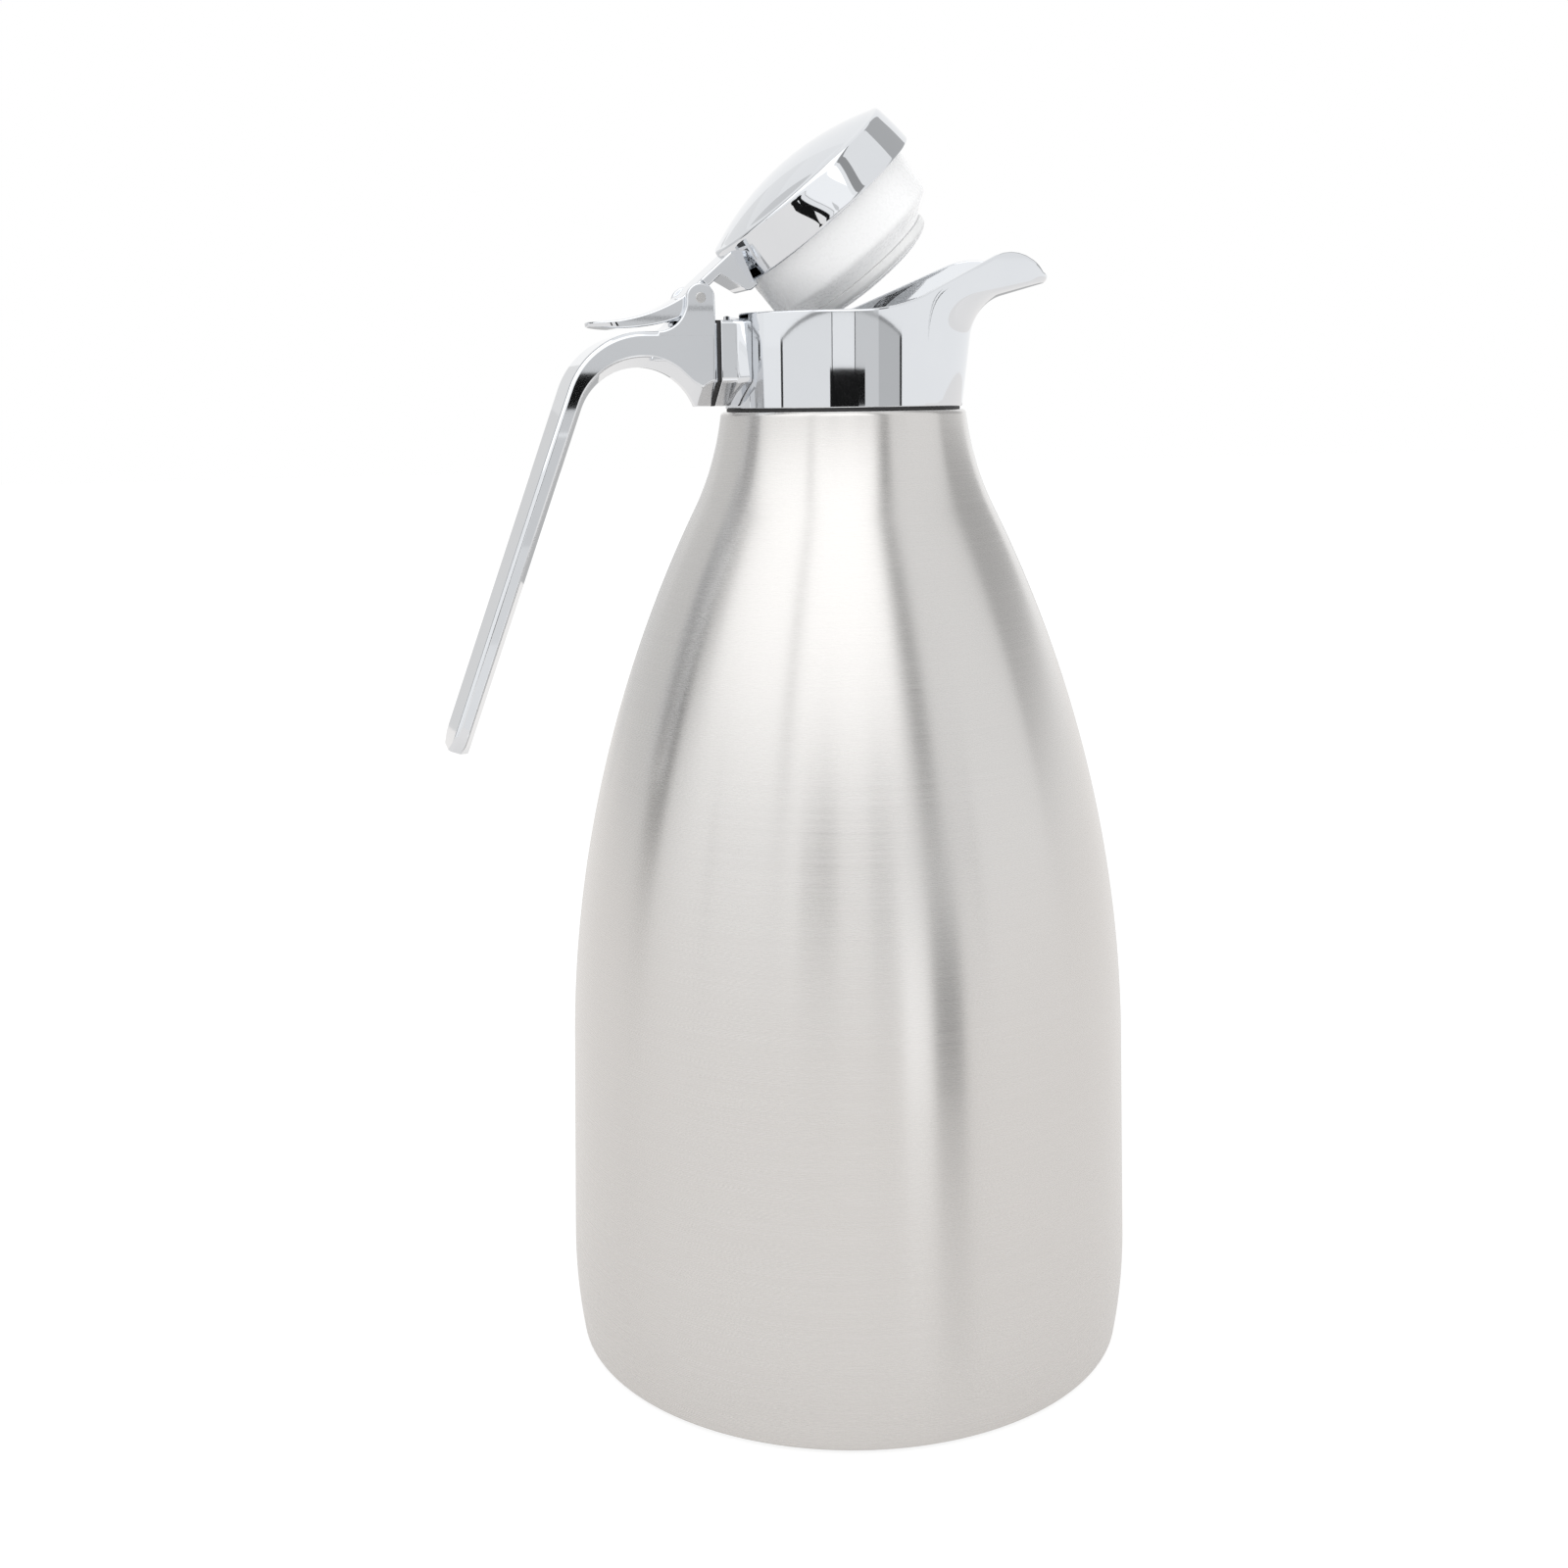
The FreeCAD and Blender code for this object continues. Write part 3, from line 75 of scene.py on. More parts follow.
class Paint:
    """A material's or world's node tree, filled by one method."""

    def __init__(self, owner):
        owner.use_nodes = True
        self.tree = owner.node_tree
        self.tree.nodes.clear()

    def node(self, kind, settings=None, inputs=None, output=0):
        """Adds a node: its settings first, then the values or links of its sockets."""
        item = self.tree.nodes.new(f"ShaderNode{kind}")
        for name, value in (settings or {}).items():
            setattr(item, name, value)
        for name, value in (inputs or {}).items():
            socket = item.inputs[name]
            if isinstance(value, Wire):
                self.tree.links.new(value.socket, socket)
            else:
                socket.default_value = value
        return Wire(self, item.outputs[output]) if len(item.outputs) else None

    def grain(self, stretch, scale, detail=3.0, roughness=0.55):
        """Noise on the piece's own coordinates, stretched by a factor along each axis."""
        place = self.node("TexCoord", output="Object")
        place = self.node("Mapping", inputs={"Vector": place, "Scale": stretch})
        return self.node("TexNoise", inputs={
            "Vector": place, "Scale": scale, "Detail": detail, "Roughness": roughness})

    def tint(self, share, low, high):
        """Colour that runs from low to high with a share from 0 to 1."""
        return self.node("Mix", {"data_type": "RGBA"}, {0: share, 6: low, 7: high}, 2)

    def bump(self, height, strength, distance):
        return self.node("Bump", inputs={
            "Strength": strength, "Distance": distance, "Height": height})

    def surface(self, **inputs):
        """The finished surface: a Principled shader with these socket values or links."""
        names = {name.replace("_", " "): value for name, value in inputs.items()}
        shader = self.node("BsdfPrincipled", inputs=names)
        self.node("OutputMaterial", inputs={"Surface": shader})


def finish(name):
    material = bpy.data.materials.new(name)
    return material, Paint(material)


def rgb(red, green, blue):
    return (red, green, blue, 1.0)


def brushed_steel(name, pale, dark, roughness, anisotropy):
    """Steel brushed round the axis: fine level hairlines over broader streaks and faint clouding."""
    material, paint = finish(name)
    hairline = paint.grain((26, 26, 5200), 1.0, 2.0)
    streak = paint.grain((9, 9, 900), 1.0, 3.0)
    cloud = paint.grain((1, 1, 1), 22.0, 2.0)
    mixed = hairline * 0.55 + streak * 0.3 + cloud * 0.15
    paint.surface(
        Base_Color=paint.tint(mixed, dark, pale),
        Metallic=1.0,
        Roughness=roughness + (hairline - 0.5) * 0.08 + (streak - 0.5) * 0.04,
        Anisotropic=anisotropy,
        Anisotropic_Rotation=0.25,
        Normal=paint.bump(hairline, 0.025, 0.00002),
    )
    return material


def chrome_plate(name):
    """Polished plating: near mirror, with a faint haze and hair-fine polishing marks."""
    material, paint = finish(name)
    haze = paint.grain((1, 1, 1), 60.0, 3.0)
    marks = paint.grain((40, 400, 400), 1.0, 2.0)
    paint.surface(
        Base_Color=paint.tint(haze, rgb(0.725, 0.745, 0.775), rgb(0.765, 0.785, 0.81)),
        Metallic=1.0,
        Roughness=0.015 + haze * 0.02 + marks * 0.01,
        Normal=paint.bump(marks, 0.008, 0.00002),
    )
    return material


def plain_steel(name, pale, dark, roughness):
    """Turned or pressed steel of the inner pieces: satin, with faint drawing marks."""
    material, paint = finish(name)
    marks = paint.grain((60, 60, 1500), 1.0, 3.0)
    cloud = paint.grain((1, 1, 1), 40.0, 2.0)
    paint.surface(
        Base_Color=paint.tint(cloud, dark, pale),
        Metallic=1.0,
        Roughness=roughness + (marks - 0.5) * 0.14,
        Normal=paint.bump(marks, 0.04, 0.00002),
    )
    return material


def moulded(name, pale, dark, roughness, grain_depth, **more):
    """Moulded rubber, foam or plastic: matt grain with a slight change of tone."""
    material, paint = finish(name)
    grain = paint.grain((1, 1, 1), 900.0, 4.0)
    cloud = paint.grain((1, 1, 1), 35.0, 2.0)
    paint.surface(
        Base_Color=paint.tint(cloud, dark, pale),
        Roughness=roughness + (grain - 0.5) * 0.15,
        Normal=paint.bump(grain, grain_depth, 0.0001),
        **more,
    )
    return material


SHELL = brushed_steel("brushed_shell_finish", rgb(0.735, 0.722, 0.708), rgb(0.66, 0.648, 0.636), 0.27, 0.86)
CHROME = chrome_plate("chrome_finish")
LINER = plain_steel("liner_finish", rgb(0.66, 0.65, 0.63), rgb(0.58, 0.57, 0.56), 0.3)
BASE = plain_steel("base_steel_finish", rgb(0.52, 0.51, 0.5), rgb(0.44, 0.43, 0.42), 0.36)
FIXING = plain_steel("fixing_steel_finish", rgb(0.6, 0.6, 0.6), rgb(0.5, 0.5, 0.5), 0.26)
BRASS = plain_steel("brass_finish", rgb(0.72, 0.53, 0.25), rgb(0.6, 0.42, 0.18), 0.3)
RUBBER = moulded("black_rubber_finish", rgb(0.022, 0.022, 0.024), rgb(0.014, 0.014, 0.015), 0.6, 0.15)
# White plastic of funnel and stopper: subsurface for its milkiness, plus a faint white emission that is a
# painted glow, lightening the stopper where the lid shades it.
WHITE_PAINTED_GLOW = moulded("white_plastic_painted_glow", rgb(0.875, 0.88, 0.885), rgb(0.85, 0.855, 0.86), 0.28, 0.02,
                Subsurface_Weight=0.2, Subsurface_Radius=(1.0, 1.0, 1.0), Subsurface_Scale=0.003,
                Emission_Color=rgb(1, 1, 1), Emission_Strength=0.1)
SILICONE = moulded("silicone_finish", rgb(0.9, 0.905, 0.905), rgb(0.87, 0.875, 0.875), 0.36, 0.03,
                   Subsurface_Weight=0.3, Subsurface_Radius=(1.0, 1.0, 1.0), Subsurface_Scale=0.002)
FOAM = moulded("foam_finish", rgb(0.78, 0.76, 0.7), rgb(0.7, 0.68, 0.62), 0.9, 0.4)


# Mesh making

def grid_faces(rows, columns, round_rows=False, round_columns=False):
    """Quads of a grid of points, closed on itself where asked."""
    row = np.arange(rows if round_rows else rows - 1)[:, None]
    column = np.arange(columns if round_columns else columns - 1)[None, :]
    next_row = (row + 1) % rows
    next_column = (column + 1) % columns
    corners = [row * columns + column, row * columns + next_column,
               next_row * columns + next_column, next_row * columns + column]
    return np.stack(np.broadcast_arrays(*corners), axis=-1).reshape(-1, 4)


def put_mesh(name, parts, material):
    """One object from (points, faces) parts given in millimetres: doubles merged, faces turned
    outwards and shaded smooth."""
    points, faces, start = [], [], 0
    for part_points, part_faces in parts:
        flat = np.asarray(part_points, float).reshape(-1, 3)
        points.append(flat * MM)
        faces += [tuple(int(corner) + start for corner in face) for face in part_faces]
        start += len(flat)
    mesh = bpy.data.meshes.new(name)
    mesh.from_pydata(np.concatenate(points).tolist(), [], faces)
    work = bmesh.new()
    work.from_mesh(mesh)
    bmesh.ops.remove_doubles(work, verts=work.verts, dist=2e-7)
    bmesh.ops.dissolve_degenerate(work, edges=work.edges, dist=1e-7)
    bmesh.ops.recalc_face_normals(work, faces=work.faces)
    work.to_mesh(mesh)
    work.free()
    mesh.polygons.foreach_set("use_smooth", np.ones(len(mesh.polygons), bool))
    mesh.materials.append(material)
    item = bpy.data.objects.new(name, mesh)
    bpy.context.collection.objects.link(item)
    return item


# Largest share of a side that a softened corner takes, and how far past its ends the flat starts
SIDE_SHARE, FLAT_START, STACK_FLAT_START = 0.42, 1.12, 1.15


def soften(corners, radii, steps=5):
    """Open or closed run of corners with each corner of a radius above 0 turned into a curve between
    two points on its sides, with one more point beside each to keep the sides flat."""
    corners = np.asarray(corners, float)
    out = []
    count = len(corners)
    share = np.linspace(0, 1, steps + 1)[:, None]
    for index, radius in enumerate(radii):
        here = corners[index]
        if radius <= 0:
            out.append(here[None, :])
            continue
        before = corners[index - 1] - here
        after = corners[(index + 1) % count] - here
        reach = [min(radius, SIDE_SHARE * np.linalg.norm(side)) for side in (before, after)]
        first = here + before / np.linalg.norm(before) * reach[0]
        last = here + after / np.linalg.norm(after) * reach[1]
        curve = (1 - share) ** 2 * first + 2 * share * (1 - share) * here + share ** 2 * last
        out.append(np.concatenate([(here + (first - here) * FLAT_START)[None, :], curve,
                                   (here + (last - here) * FLAT_START)[None, :]]))
    return np.concatenate(out)


def turned(profile, segments=192, closed=True):
    """Surface of revolution: each (radius, height) of the profile carried once round the Z axis."""
    profile = np.asarray(profile, float)
    angle = np.arange(segments) * TURN / segments
    ring = np.stack([np.cos(angle), np.sin(angle), np.zeros(segments)], axis=1)
    points = profile[:, None, 0, None] * ring[None, :, :]
    points[:, :, 2] += profile[:, None, 1]
    return points, grid_faces(len(profile), segments, closed, True)


def arc(centre, radius, start, end, steps):
    """Points on a circle from one angle to another, in degrees."""
    angle = np.radians(np.linspace(start, end, steps + 1))
    return np.stack([centre[0] + radius * np.cos(angle), centre[1] + radius * np.sin(angle)], axis=1)


def line(start, end, steps):
    share = np.linspace(0, 1, steps + 1)[:, None]
    return np.asarray(start, float) * (1 - share) + np.asarray(end, float) * share


def opened(parts):
    """Points of a lid piece drawn shut, turned about the hinge pin to where the lid stands open."""
    swung = []
    for points, faces in parts:
        points = np.array(points, float)
        across = points[..., 0] + PIN_REACH
        up = points[..., 2] - PIN_LEVEL
        c, s = math.cos(OPEN_ANGLE), math.sin(OPEN_ANGLE)
        points[..., 0] = across * c - up * s - PIN_REACH
        points[..., 2] = across * s + up * c + PIN_LEVEL
        swung.append((points, faces))
    return swung


def settle(item, body, slot, *nodes):
    """Puts a finished piece on its body, in place of its CAD nodes."""
    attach(item, body)
    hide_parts(*nodes)


# Vessel

BELLY_RADIUS, BELLY_HEIGHT, SIDE_HEIGHT = 76.8, 28.8, 85.7
BASE_SWEEP, NECK_SWEEP = 147.5, 73.9
SIDE_LEAN = math.radians(1.9)
NECK_RADIUS, NECK_LEVEL = 31.0, 260.0
SHOULDER_TOP, SHOULDER_ROUND = 251.5, 1.2
SHELL_LIFT, SHELL_WALL, HEM_RADIUS = 0.8, 0.7, 0.9
STUB_RADIUS, STUB_BORE, STUB_TOP = 28.2, 27.5, 260.5
LINER_OUTSIDE, LINER_INSIDE, LINER_WALL = 4.7, 5.3, 0.6
LINER_FLOOR, LINER_CORNER, LIP_TOP = 12.0, 12.0, 261.1
SEAT_LEVEL, SEAT_RADIUS, FUNNEL_WALL = 252.7, 17.3, 0.6
PIECE_GAP = 0.1


def wall_radius(height, inset):
    """Radius of the vessel's wall at a height, moved inwards: base arc, leaning side, shoulder arc
    and neck arc, each tangent to the next."""
    lean_c, lean_s = math.cos(SIDE_LEAN), math.sin(SIDE_LEAN)
    side_radius = BELLY_RADIUS - math.tan(SIDE_LEAN) * (SIDE_HEIGHT - BELLY_HEIGHT)
    across = NECK_RADIUS + NECK_SWEEP - side_radius
    up = NECK_LEVEL - SIDE_HEIGHT
    shoulder = (across ** 2 + up ** 2 - NECK_SWEEP ** 2) / (2 * (NECK_SWEEP - across * lean_c - up * lean_s))
    base_middle = (BELLY_RADIUS - BASE_SWEEP * lean_c, BELLY_HEIGHT - BASE_SWEEP * lean_s)
    middle = (side_radius - shoulder * lean_c, SIDE_HEIGHT - shoulder * lean_s)
    meet = middle[1] + (NECK_LEVEL - middle[1]) * (shoulder - inset) / (shoulder + NECK_SWEEP)

    def circle(centre, sweep, sign):
        return centre[0] + sign * np.sqrt(np.maximum(sweep ** 2 - (height - centre[1]) ** 2, 0))

    base = circle(base_middle, BASE_SWEEP - inset, 1)
    side = BELLY_RADIUS - math.tan(SIDE_LEAN) * (height - BELLY_HEIGHT) - inset / lean_c
    curve = circle(middle, shoulder - inset, 1)
    neck = circle((NECK_RADIUS + NECK_SWEEP, NECK_LEVEL), NECK_SWEEP + inset, -1)
    return np.select(
        [height < BELLY_HEIGHT - inset * lean_s, height < SIDE_HEIGHT - inset * lean_s, height < meet],
        [base, side, curve], neck)


def wall(inset, low, high, rows):
    height = np.linspace(low, high, rows)
    return np.stack([wall_radius(height, inset), height], axis=1)


def make_shell():
    """Outer wall turned from its profile: hemmed foot edge, wall, rounded shoulder and neck stub."""
    outside = wall(0, SHELL_LIFT + HEM_RADIUS, SHOULDER_TOP - SHOULDER_ROUND, 220)
    foot = outside[0]
    hem = arc((foot[0] - HEM_RADIUS, foot[1]), HEM_RADIUS, -90, -5, 6)
    middle = (outside[-1, 0] - SHOULDER_ROUND, SHOULDER_TOP - SHOULDER_ROUND)
    shoulder = arc(middle, SHOULDER_ROUND, 0, 90, 6)[1:]
    ceiling = SHOULDER_TOP - SHELL_WALL
    stub = [(STUB_RADIUS, SHOULDER_TOP), (STUB_RADIUS, STUB_TOP), (STUB_BORE, STUB_TOP), (STUB_BORE, ceiling)]
    inside = wall(SHELL_WALL, SHELL_LIFT, ceiling, 60)[::-1]
    profile = np.concatenate([hem, outside[1:], shoulder, stub, inside])
    item = put_mesh("brushed_shell", [turned(profile, 256)], SHELL)
    settle(item, "jug", "brushed_shell", "outer_shell")


def make_liner():
    """Inner wall of the vessel with its rounded floor corner and the lip that meets the stub."""
    start = LINER_FLOOR + LINER_CORNER
    outside = wall(LINER_OUTSIDE, start, STUB_TOP, 90)
    outer_corner = arc((outside[0, 0] - LINER_CORNER, start), LINER_CORNER, -90, 0, 12)
    lip = [(STUB_RADIUS, STUB_TOP), (STUB_RADIUS, LIP_TOP)]
    outer = np.concatenate([[(0, LINER_FLOOR)], outer_corner, outside[1:], lip])
    inside = wall(LINER_INSIDE, start, LIP_TOP, 90)
    radius = LINER_CORNER - LINER_WALL
    inner_corner = arc((inside[0, 0] - radius, LINER_FLOOR + LINER_WALL + radius), radius, -90, 0, 12)
    inner = np.concatenate([[(0, LINER_FLOOR + LINER_WALL)], inner_corner, inside[1:]])[::-1]
    item = put_mesh("vessel_liner", [turned(np.concatenate([outer, inner]), 160, False)], LINER)
    settle(item, "jug", "steel_liner", "inner_liner")


def ring(name, corners, radii, material, slot, node, segments=160, body="jug", closed=True):
    """A turned ring or disc with softened corners; a disc's outline starts and ends on the axis."""
    item = put_mesh(name, [turned(soften(corners, radii), segments, closed)], material)
    settle(item, body, slot, node)


def make_base():
    """Pan under the vessel and the pad that it stands on."""
    low, high, thickness = 1.0, 5.9, 0.8
    rim = float(wall_radius(np.array(low), SHELL_WALL)) - PIECE_GAP
    inside, ceiling = rim - thickness, low + thickness
    ring("base_pan", [(0, low), (rim, low), (rim, high), (inside, high), (inside, ceiling), (0, ceiling)],
         [0, 0.6, 0.2, 0.2, 0.4, 0], BASE, "base_steel", "base_cover", closed=False)
    foot = rim - 4.1
    ring("foot_disc", [(0, 0), (foot, 0), (foot, low), (0, low)], [0, 0.35, 0.2, 0], RUBBER,
         "black_rubber", "foot_pad", closed=False)


def funnel_cone():
    """Radius of the funnel's skirt inside the liner's neck, and the cone's growth of radius with height."""
    skirt = float(wall_radius(np.array(STUB_TOP), LINER_INSIDE)) - PIECE_GAP
    return skirt, (skirt - FUNNEL_WALL - SEAT_RADIUS) / (LIP_TOP - SEAT_LEVEL)


def make_funnel():
    """Funnel in the mouth: seat, cone, flange and skirt."""
    top, flange = 262.3, 27.9
    skirt, slope = funnel_cone()
    bottom = SEAT_LEVEL - 1.4
    skirt_low = LIP_TOP - 4.3
    corners = [(SEAT_RADIUS, bottom), (skirt - slope * (skirt_low - bottom), bottom), (skirt, skirt_low),
               (skirt, LIP_TOP), (flange, LIP_TOP), (flange, top),
               (SEAT_RADIUS + slope * (top - SEAT_LEVEL), top), (SEAT_RADIUS, SEAT_LEVEL)]
    radii = [0.3, 0.3, 0.3, 0.2, 0.2, 0.3, 0.4, 0.4]
    ring("mouth_cone", corners, radii, WHITE_PAINTED_GLOW, "white_plastic", "mouth_funnel")


def make_neck_ring():
    """Black ring between the vessel's shoulder and the collar."""
    bore, edge = STUB_RADIUS + PIECE_GAP, 30.0
    corners = [(bore, SHOULDER_TOP), (edge, SHOULDER_TOP), (edge, COLLAR_BOTTOM), (bore, COLLAR_BOTTOM)]
    ring("neck_ring", corners, [0.1, 0.3, 0.3, 0.1], RUBBER, "black_rubber", "neck_gasket")


# Pouring collar

COLLAR_RADIUS, COLLAR_WALL = 30.3, 1.5
COLLAR_BOTTOM, RIM_LEVEL = 252.3, 275.4
SPOUT_TIP, SPOUT_NOSE = 55.0, 13.0
SPOUT_REACH = SPOUT_TIP - COLLAR_RADIUS
NOSE_SHIFT = SPOUT_REACH + COLLAR_RADIUS - SPOUT_NOSE
TANGENT_ANGLE = math.acos((COLLAR_RADIUS - SPOUT_NOSE) / NOSE_SHIFT)
NOTCH_HALF, NOTCH_FLOOR = 8.1, 270.95
RISE_START, RISE_SWEEP = -5.0, 46.0
CREST_REACH, CREST_LEVEL, CREST_SWEEP = 40.4, 290.0, 15.0
LIP_LEVEL, LIP_UNDER = 284.6, 283.3
LEDGE_LEVEL, COLLAR_BORE = 262.4, 28.3


def rim_height(reach):
    """Height of the rim in side view: level at the back, a rise on a wide arc and a slope, the round
    crest of the spout and the fall to its lip."""
    rise, fall = math.radians(24.5), math.radians(45)
    crest = (CREST_REACH, CREST_LEVEL - CREST_SWEEP)
    foot = (RISE_START, RIM_LEVEL + RISE_SWEEP)
    rise_end = (foot[0] + RISE_SWEEP * math.sin(rise), foot[1] - RISE_SWEEP * math.cos(rise))
    crest_start = (crest[0] - CREST_SWEEP * math.sin(rise), crest[1] + CREST_SWEEP * math.cos(rise))
    crest_end = (crest[0] + CREST_SWEEP * math.sin(fall), crest[1] + CREST_SWEEP * math.cos(fall))
    lower = foot[1] - np.sqrt(np.maximum(RISE_SWEEP ** 2 - (reach - foot[0]) ** 2, 0))
    slope = np.interp(reach, [rise_end[0], crest_start[0]], [rise_end[1], crest_start[1]])
    upper = crest[1] + np.sqrt(np.maximum(CREST_SWEEP ** 2 - (reach - crest[0]) ** 2, 0))
    lip = np.interp(reach, [crest_end[0], SPOUT_TIP], [crest_end[1], LIP_LEVEL])
    return np.select([reach < foot[0], reach < rise_end[0], reach < crest_start[0], reach < crest_end[0]],
                     [np.full_like(reach, RIM_LEVEL), lower, slope, upper], lip)


def keel(inset, low, steps):
    """Middle line of the spout's underside from a low height up: a flared line, a bend outwards, a
    raked line and a small bend up to the lip, moved inwards by inset."""
    flare, rake = math.radians(7), math.radians(15)
    out_low = np.array([math.cos(flare), -math.sin(flare)])
    out_high = np.array([math.sin(rake), -math.cos(rake)])
    along_low = np.array([math.sin(flare), math.cos(flare)])
    along_high = np.array([math.cos(rake), math.sin(rake)])
    start = np.array([COLLAR_RADIUS + 0.3, COLLAR_BOTTOM])
    tip = np.array([SPOUT_TIP, LIP_UNDER])
    bend, lip_bend, least_bend = 12.0, 2.2, 0.7
    above_rim = 296.0
    across = np.array([out_low, out_high])
    middle = np.linalg.solve(across, [out_low @ start + bend, out_high @ tip + bend])
    first = start - inset * out_low
    first = first + along_low * (low - first[1]) / along_low[1]
    slants = np.linspace(flare, math.pi / 2 - rake, steps)
    bend_line = middle - (bend + inset) * np.stack([np.cos(slants), -np.sin(slants)], axis=1)
    lip_radius = max(lip_bend - inset, least_bend)
    edge = SPOUT_TIP - inset
    base = tip - inset * out_high
    lip_start = base + along_high * (edge - lip_radius + lip_radius * out_high[0] - base[0]) / along_high[0]
    lip_middle = np.array([edge - lip_radius, (lip_start - lip_radius * out_high)[1]])
    turn = np.linspace(-math.pi / 2 + rake, 0, steps)
    lip_line = lip_middle + lip_radius * np.stack([np.cos(turn), np.sin(turn)], axis=1)
    return np.concatenate([line(first, bend_line[0], steps)[:-1], bend_line,
                           line(bend_line[-1], lip_line[0], steps)[1:-1], lip_line,
                           line(lip_line[-1], (edge, above_rim), steps)[1:]])


def collar_columns():
    """Places round the collar's plan as (normal angle, share along the straight side), from the back
    by the far side, the nose and the near side to the back again, closer at the edges of the notch."""
    notch = math.pi - math.asin(NOTCH_HALF / COLLAR_RADIUS)
    edge = 0.0015
    half = [(angle, 0.0) for angle in np.linspace(math.pi, notch + edge, 14)]
    half += [(angle, 0.0) for angle in np.linspace(notch - edge, TANGENT_ANGLE, 60)]
    half += [(TANGENT_ANGLE, share) for share in np.linspace(0, 1, 15)[1:-1]]
    nose = [(angle, 1.0) for angle in np.linspace(TANGENT_ANGLE, -TANGENT_ANGLE, 61)]
    back = [(-angle, share) for angle, share in half[:0:-1]]
    return np.array(half + nose + back)


def collar_wall(columns, radius, middle_line):
    """Wall of the collar: each column's plan point moves out in proportion to the reach of the keel.
    Each column ends where it meets the rim; its points are spread evenly below that."""
    angle, share = columns.T
    foot = radius * np.stack([np.cos(angle), np.sin(angle)], axis=1)
    nose_drop = COLLAR_RADIUS - SPOUT_NOSE
    nose = np.stack([NOSE_SHIFT - nose_drop * np.cos(angle), -nose_drop * np.sin(angle)], axis=1)
    drift = share[:, None] * nose
    spread = (middle_line[:, 0] - radius) / SPOUT_REACH
    across = foot[None, :, :] + spread[:, None, None] * drift[None, :, :]
    up = np.broadcast_to(middle_line[:, 1, None], across.shape[:2])
    rim = rim_height(across[..., 0])
    notched = (across[..., 0] < 0) & (np.abs(foot[None, :, 1]) < NOTCH_HALF * radius / COLLAR_RADIUS)
    rim = np.where(notched, NOTCH_FLOOR, rim)
    return across, up, rim


def cut_at_rim(across, up, rim, rows, lower):
    """Resamples each column between its foot and the place where it crosses the rim."""
    over = up - (rim - lower)
    crossed = np.argmax(over > 0, axis=0)
    column = np.arange(up.shape[1])
    below, above = over[crossed - 1, column], over[crossed, column]
    end = crossed - 1 + below / (below - above)
    place = np.linspace(0, 1, rows)[:, None] * end[None, :]
    first = np.minimum(place.astype(int), len(up) - 2)
    part = place - first
    points = np.stack([across[..., 0], across[..., 1], up], axis=-1)
    return points[first, column] * (1 - part[..., None]) + points[first + 1, column] * part[..., None]


def make_collar():
    """Collar as one closed sheet: outer wall, rounded rim, inner wall, ledge, neck bore and foot."""
    columns = collar_columns()
    edge, squareness = 0.4, 0.7
    outer_keel = keel(0.0, COLLAR_BOTTOM, 24)
    inner_keel = keel(COLLAR_WALL, LEDGE_LEVEL, 24)
    outer = cut_at_rim(*collar_wall(columns, COLLAR_RADIUS, outer_keel), 90, edge)
    inner = cut_at_rim(*collar_wall(columns, COLLAR_RADIUS - COLLAR_WALL, inner_keel), 60, edge)
    turn = np.linspace(0, math.pi, 11)[1:-1, None, None]
    level = np.sign(np.cos(turn)) * np.abs(np.cos(turn)) ** squareness
    rise = np.abs(np.sin(turn)) ** squareness
    rim = outer[-1] * (1 + level) / 2 + inner[-1] * (1 - level) / 2 + np.array([0, 0, edge]) * rise
    angle = np.arctan2(inner[0, :, 1], inner[0, :, 0])
    plan = np.stack([np.cos(angle), np.sin(angle)], axis=1) * COLLAR_BORE

    def bore(height):
        return np.concatenate([plan, np.full((len(plan), 1), height)], axis=1)[None]

    bevel = [outer[:1] * [0.993, 0.993, 1], outer[:1] + [0, 0, 0.25]]
    rows = np.concatenate([bore(COLLAR_BOTTOM), *bevel, outer[1:], rim, inner[::-1], bore(LEDGE_LEVEL)])
    collar = (rows, grid_faces(len(rows), len(columns), True, True))
    item = put_mesh("chrome_collar", [collar, boss()], CHROME)
    settle(item, "jug", "chrome", "pouring_collar")


BOSS_TOP, BOSS_BOTTOM, BOSS_SIDE = 273.7, 253.0, 259.1
ROOT_HALF, KEEL_HALF = 10.0, 1.5
BOSS_REACH, HANDLE_FACE = 34.2, 35.3
FACET_LEVEL, FACET_HEIGHT, FACET_SWELL = 263.0, 10.7, 3.4
STRIP_MIDDLE = 264.0


def root_section(top, half, round_edge):
    """Section of boss, gasket and handle root: flat top and sides, bottom bevelled to a narrow keel."""
    step = [NOTCH_HALF + 0.45, NOTCH_HALF + 0.35]
    near_notch = [(place, top) for place in (step[0], step[1], -step[1], -step[0])]
    corners = [(-KEEL_HALF, BOSS_BOTTOM), (KEEL_HALF, BOSS_BOTTOM), (half, BOSS_SIDE), (half, top),
               *near_notch, (-half, top), (-half, BOSS_SIDE)]
    return soften(corners, [round_edge] * 4 + [0] * 4 + [round_edge] * 2)


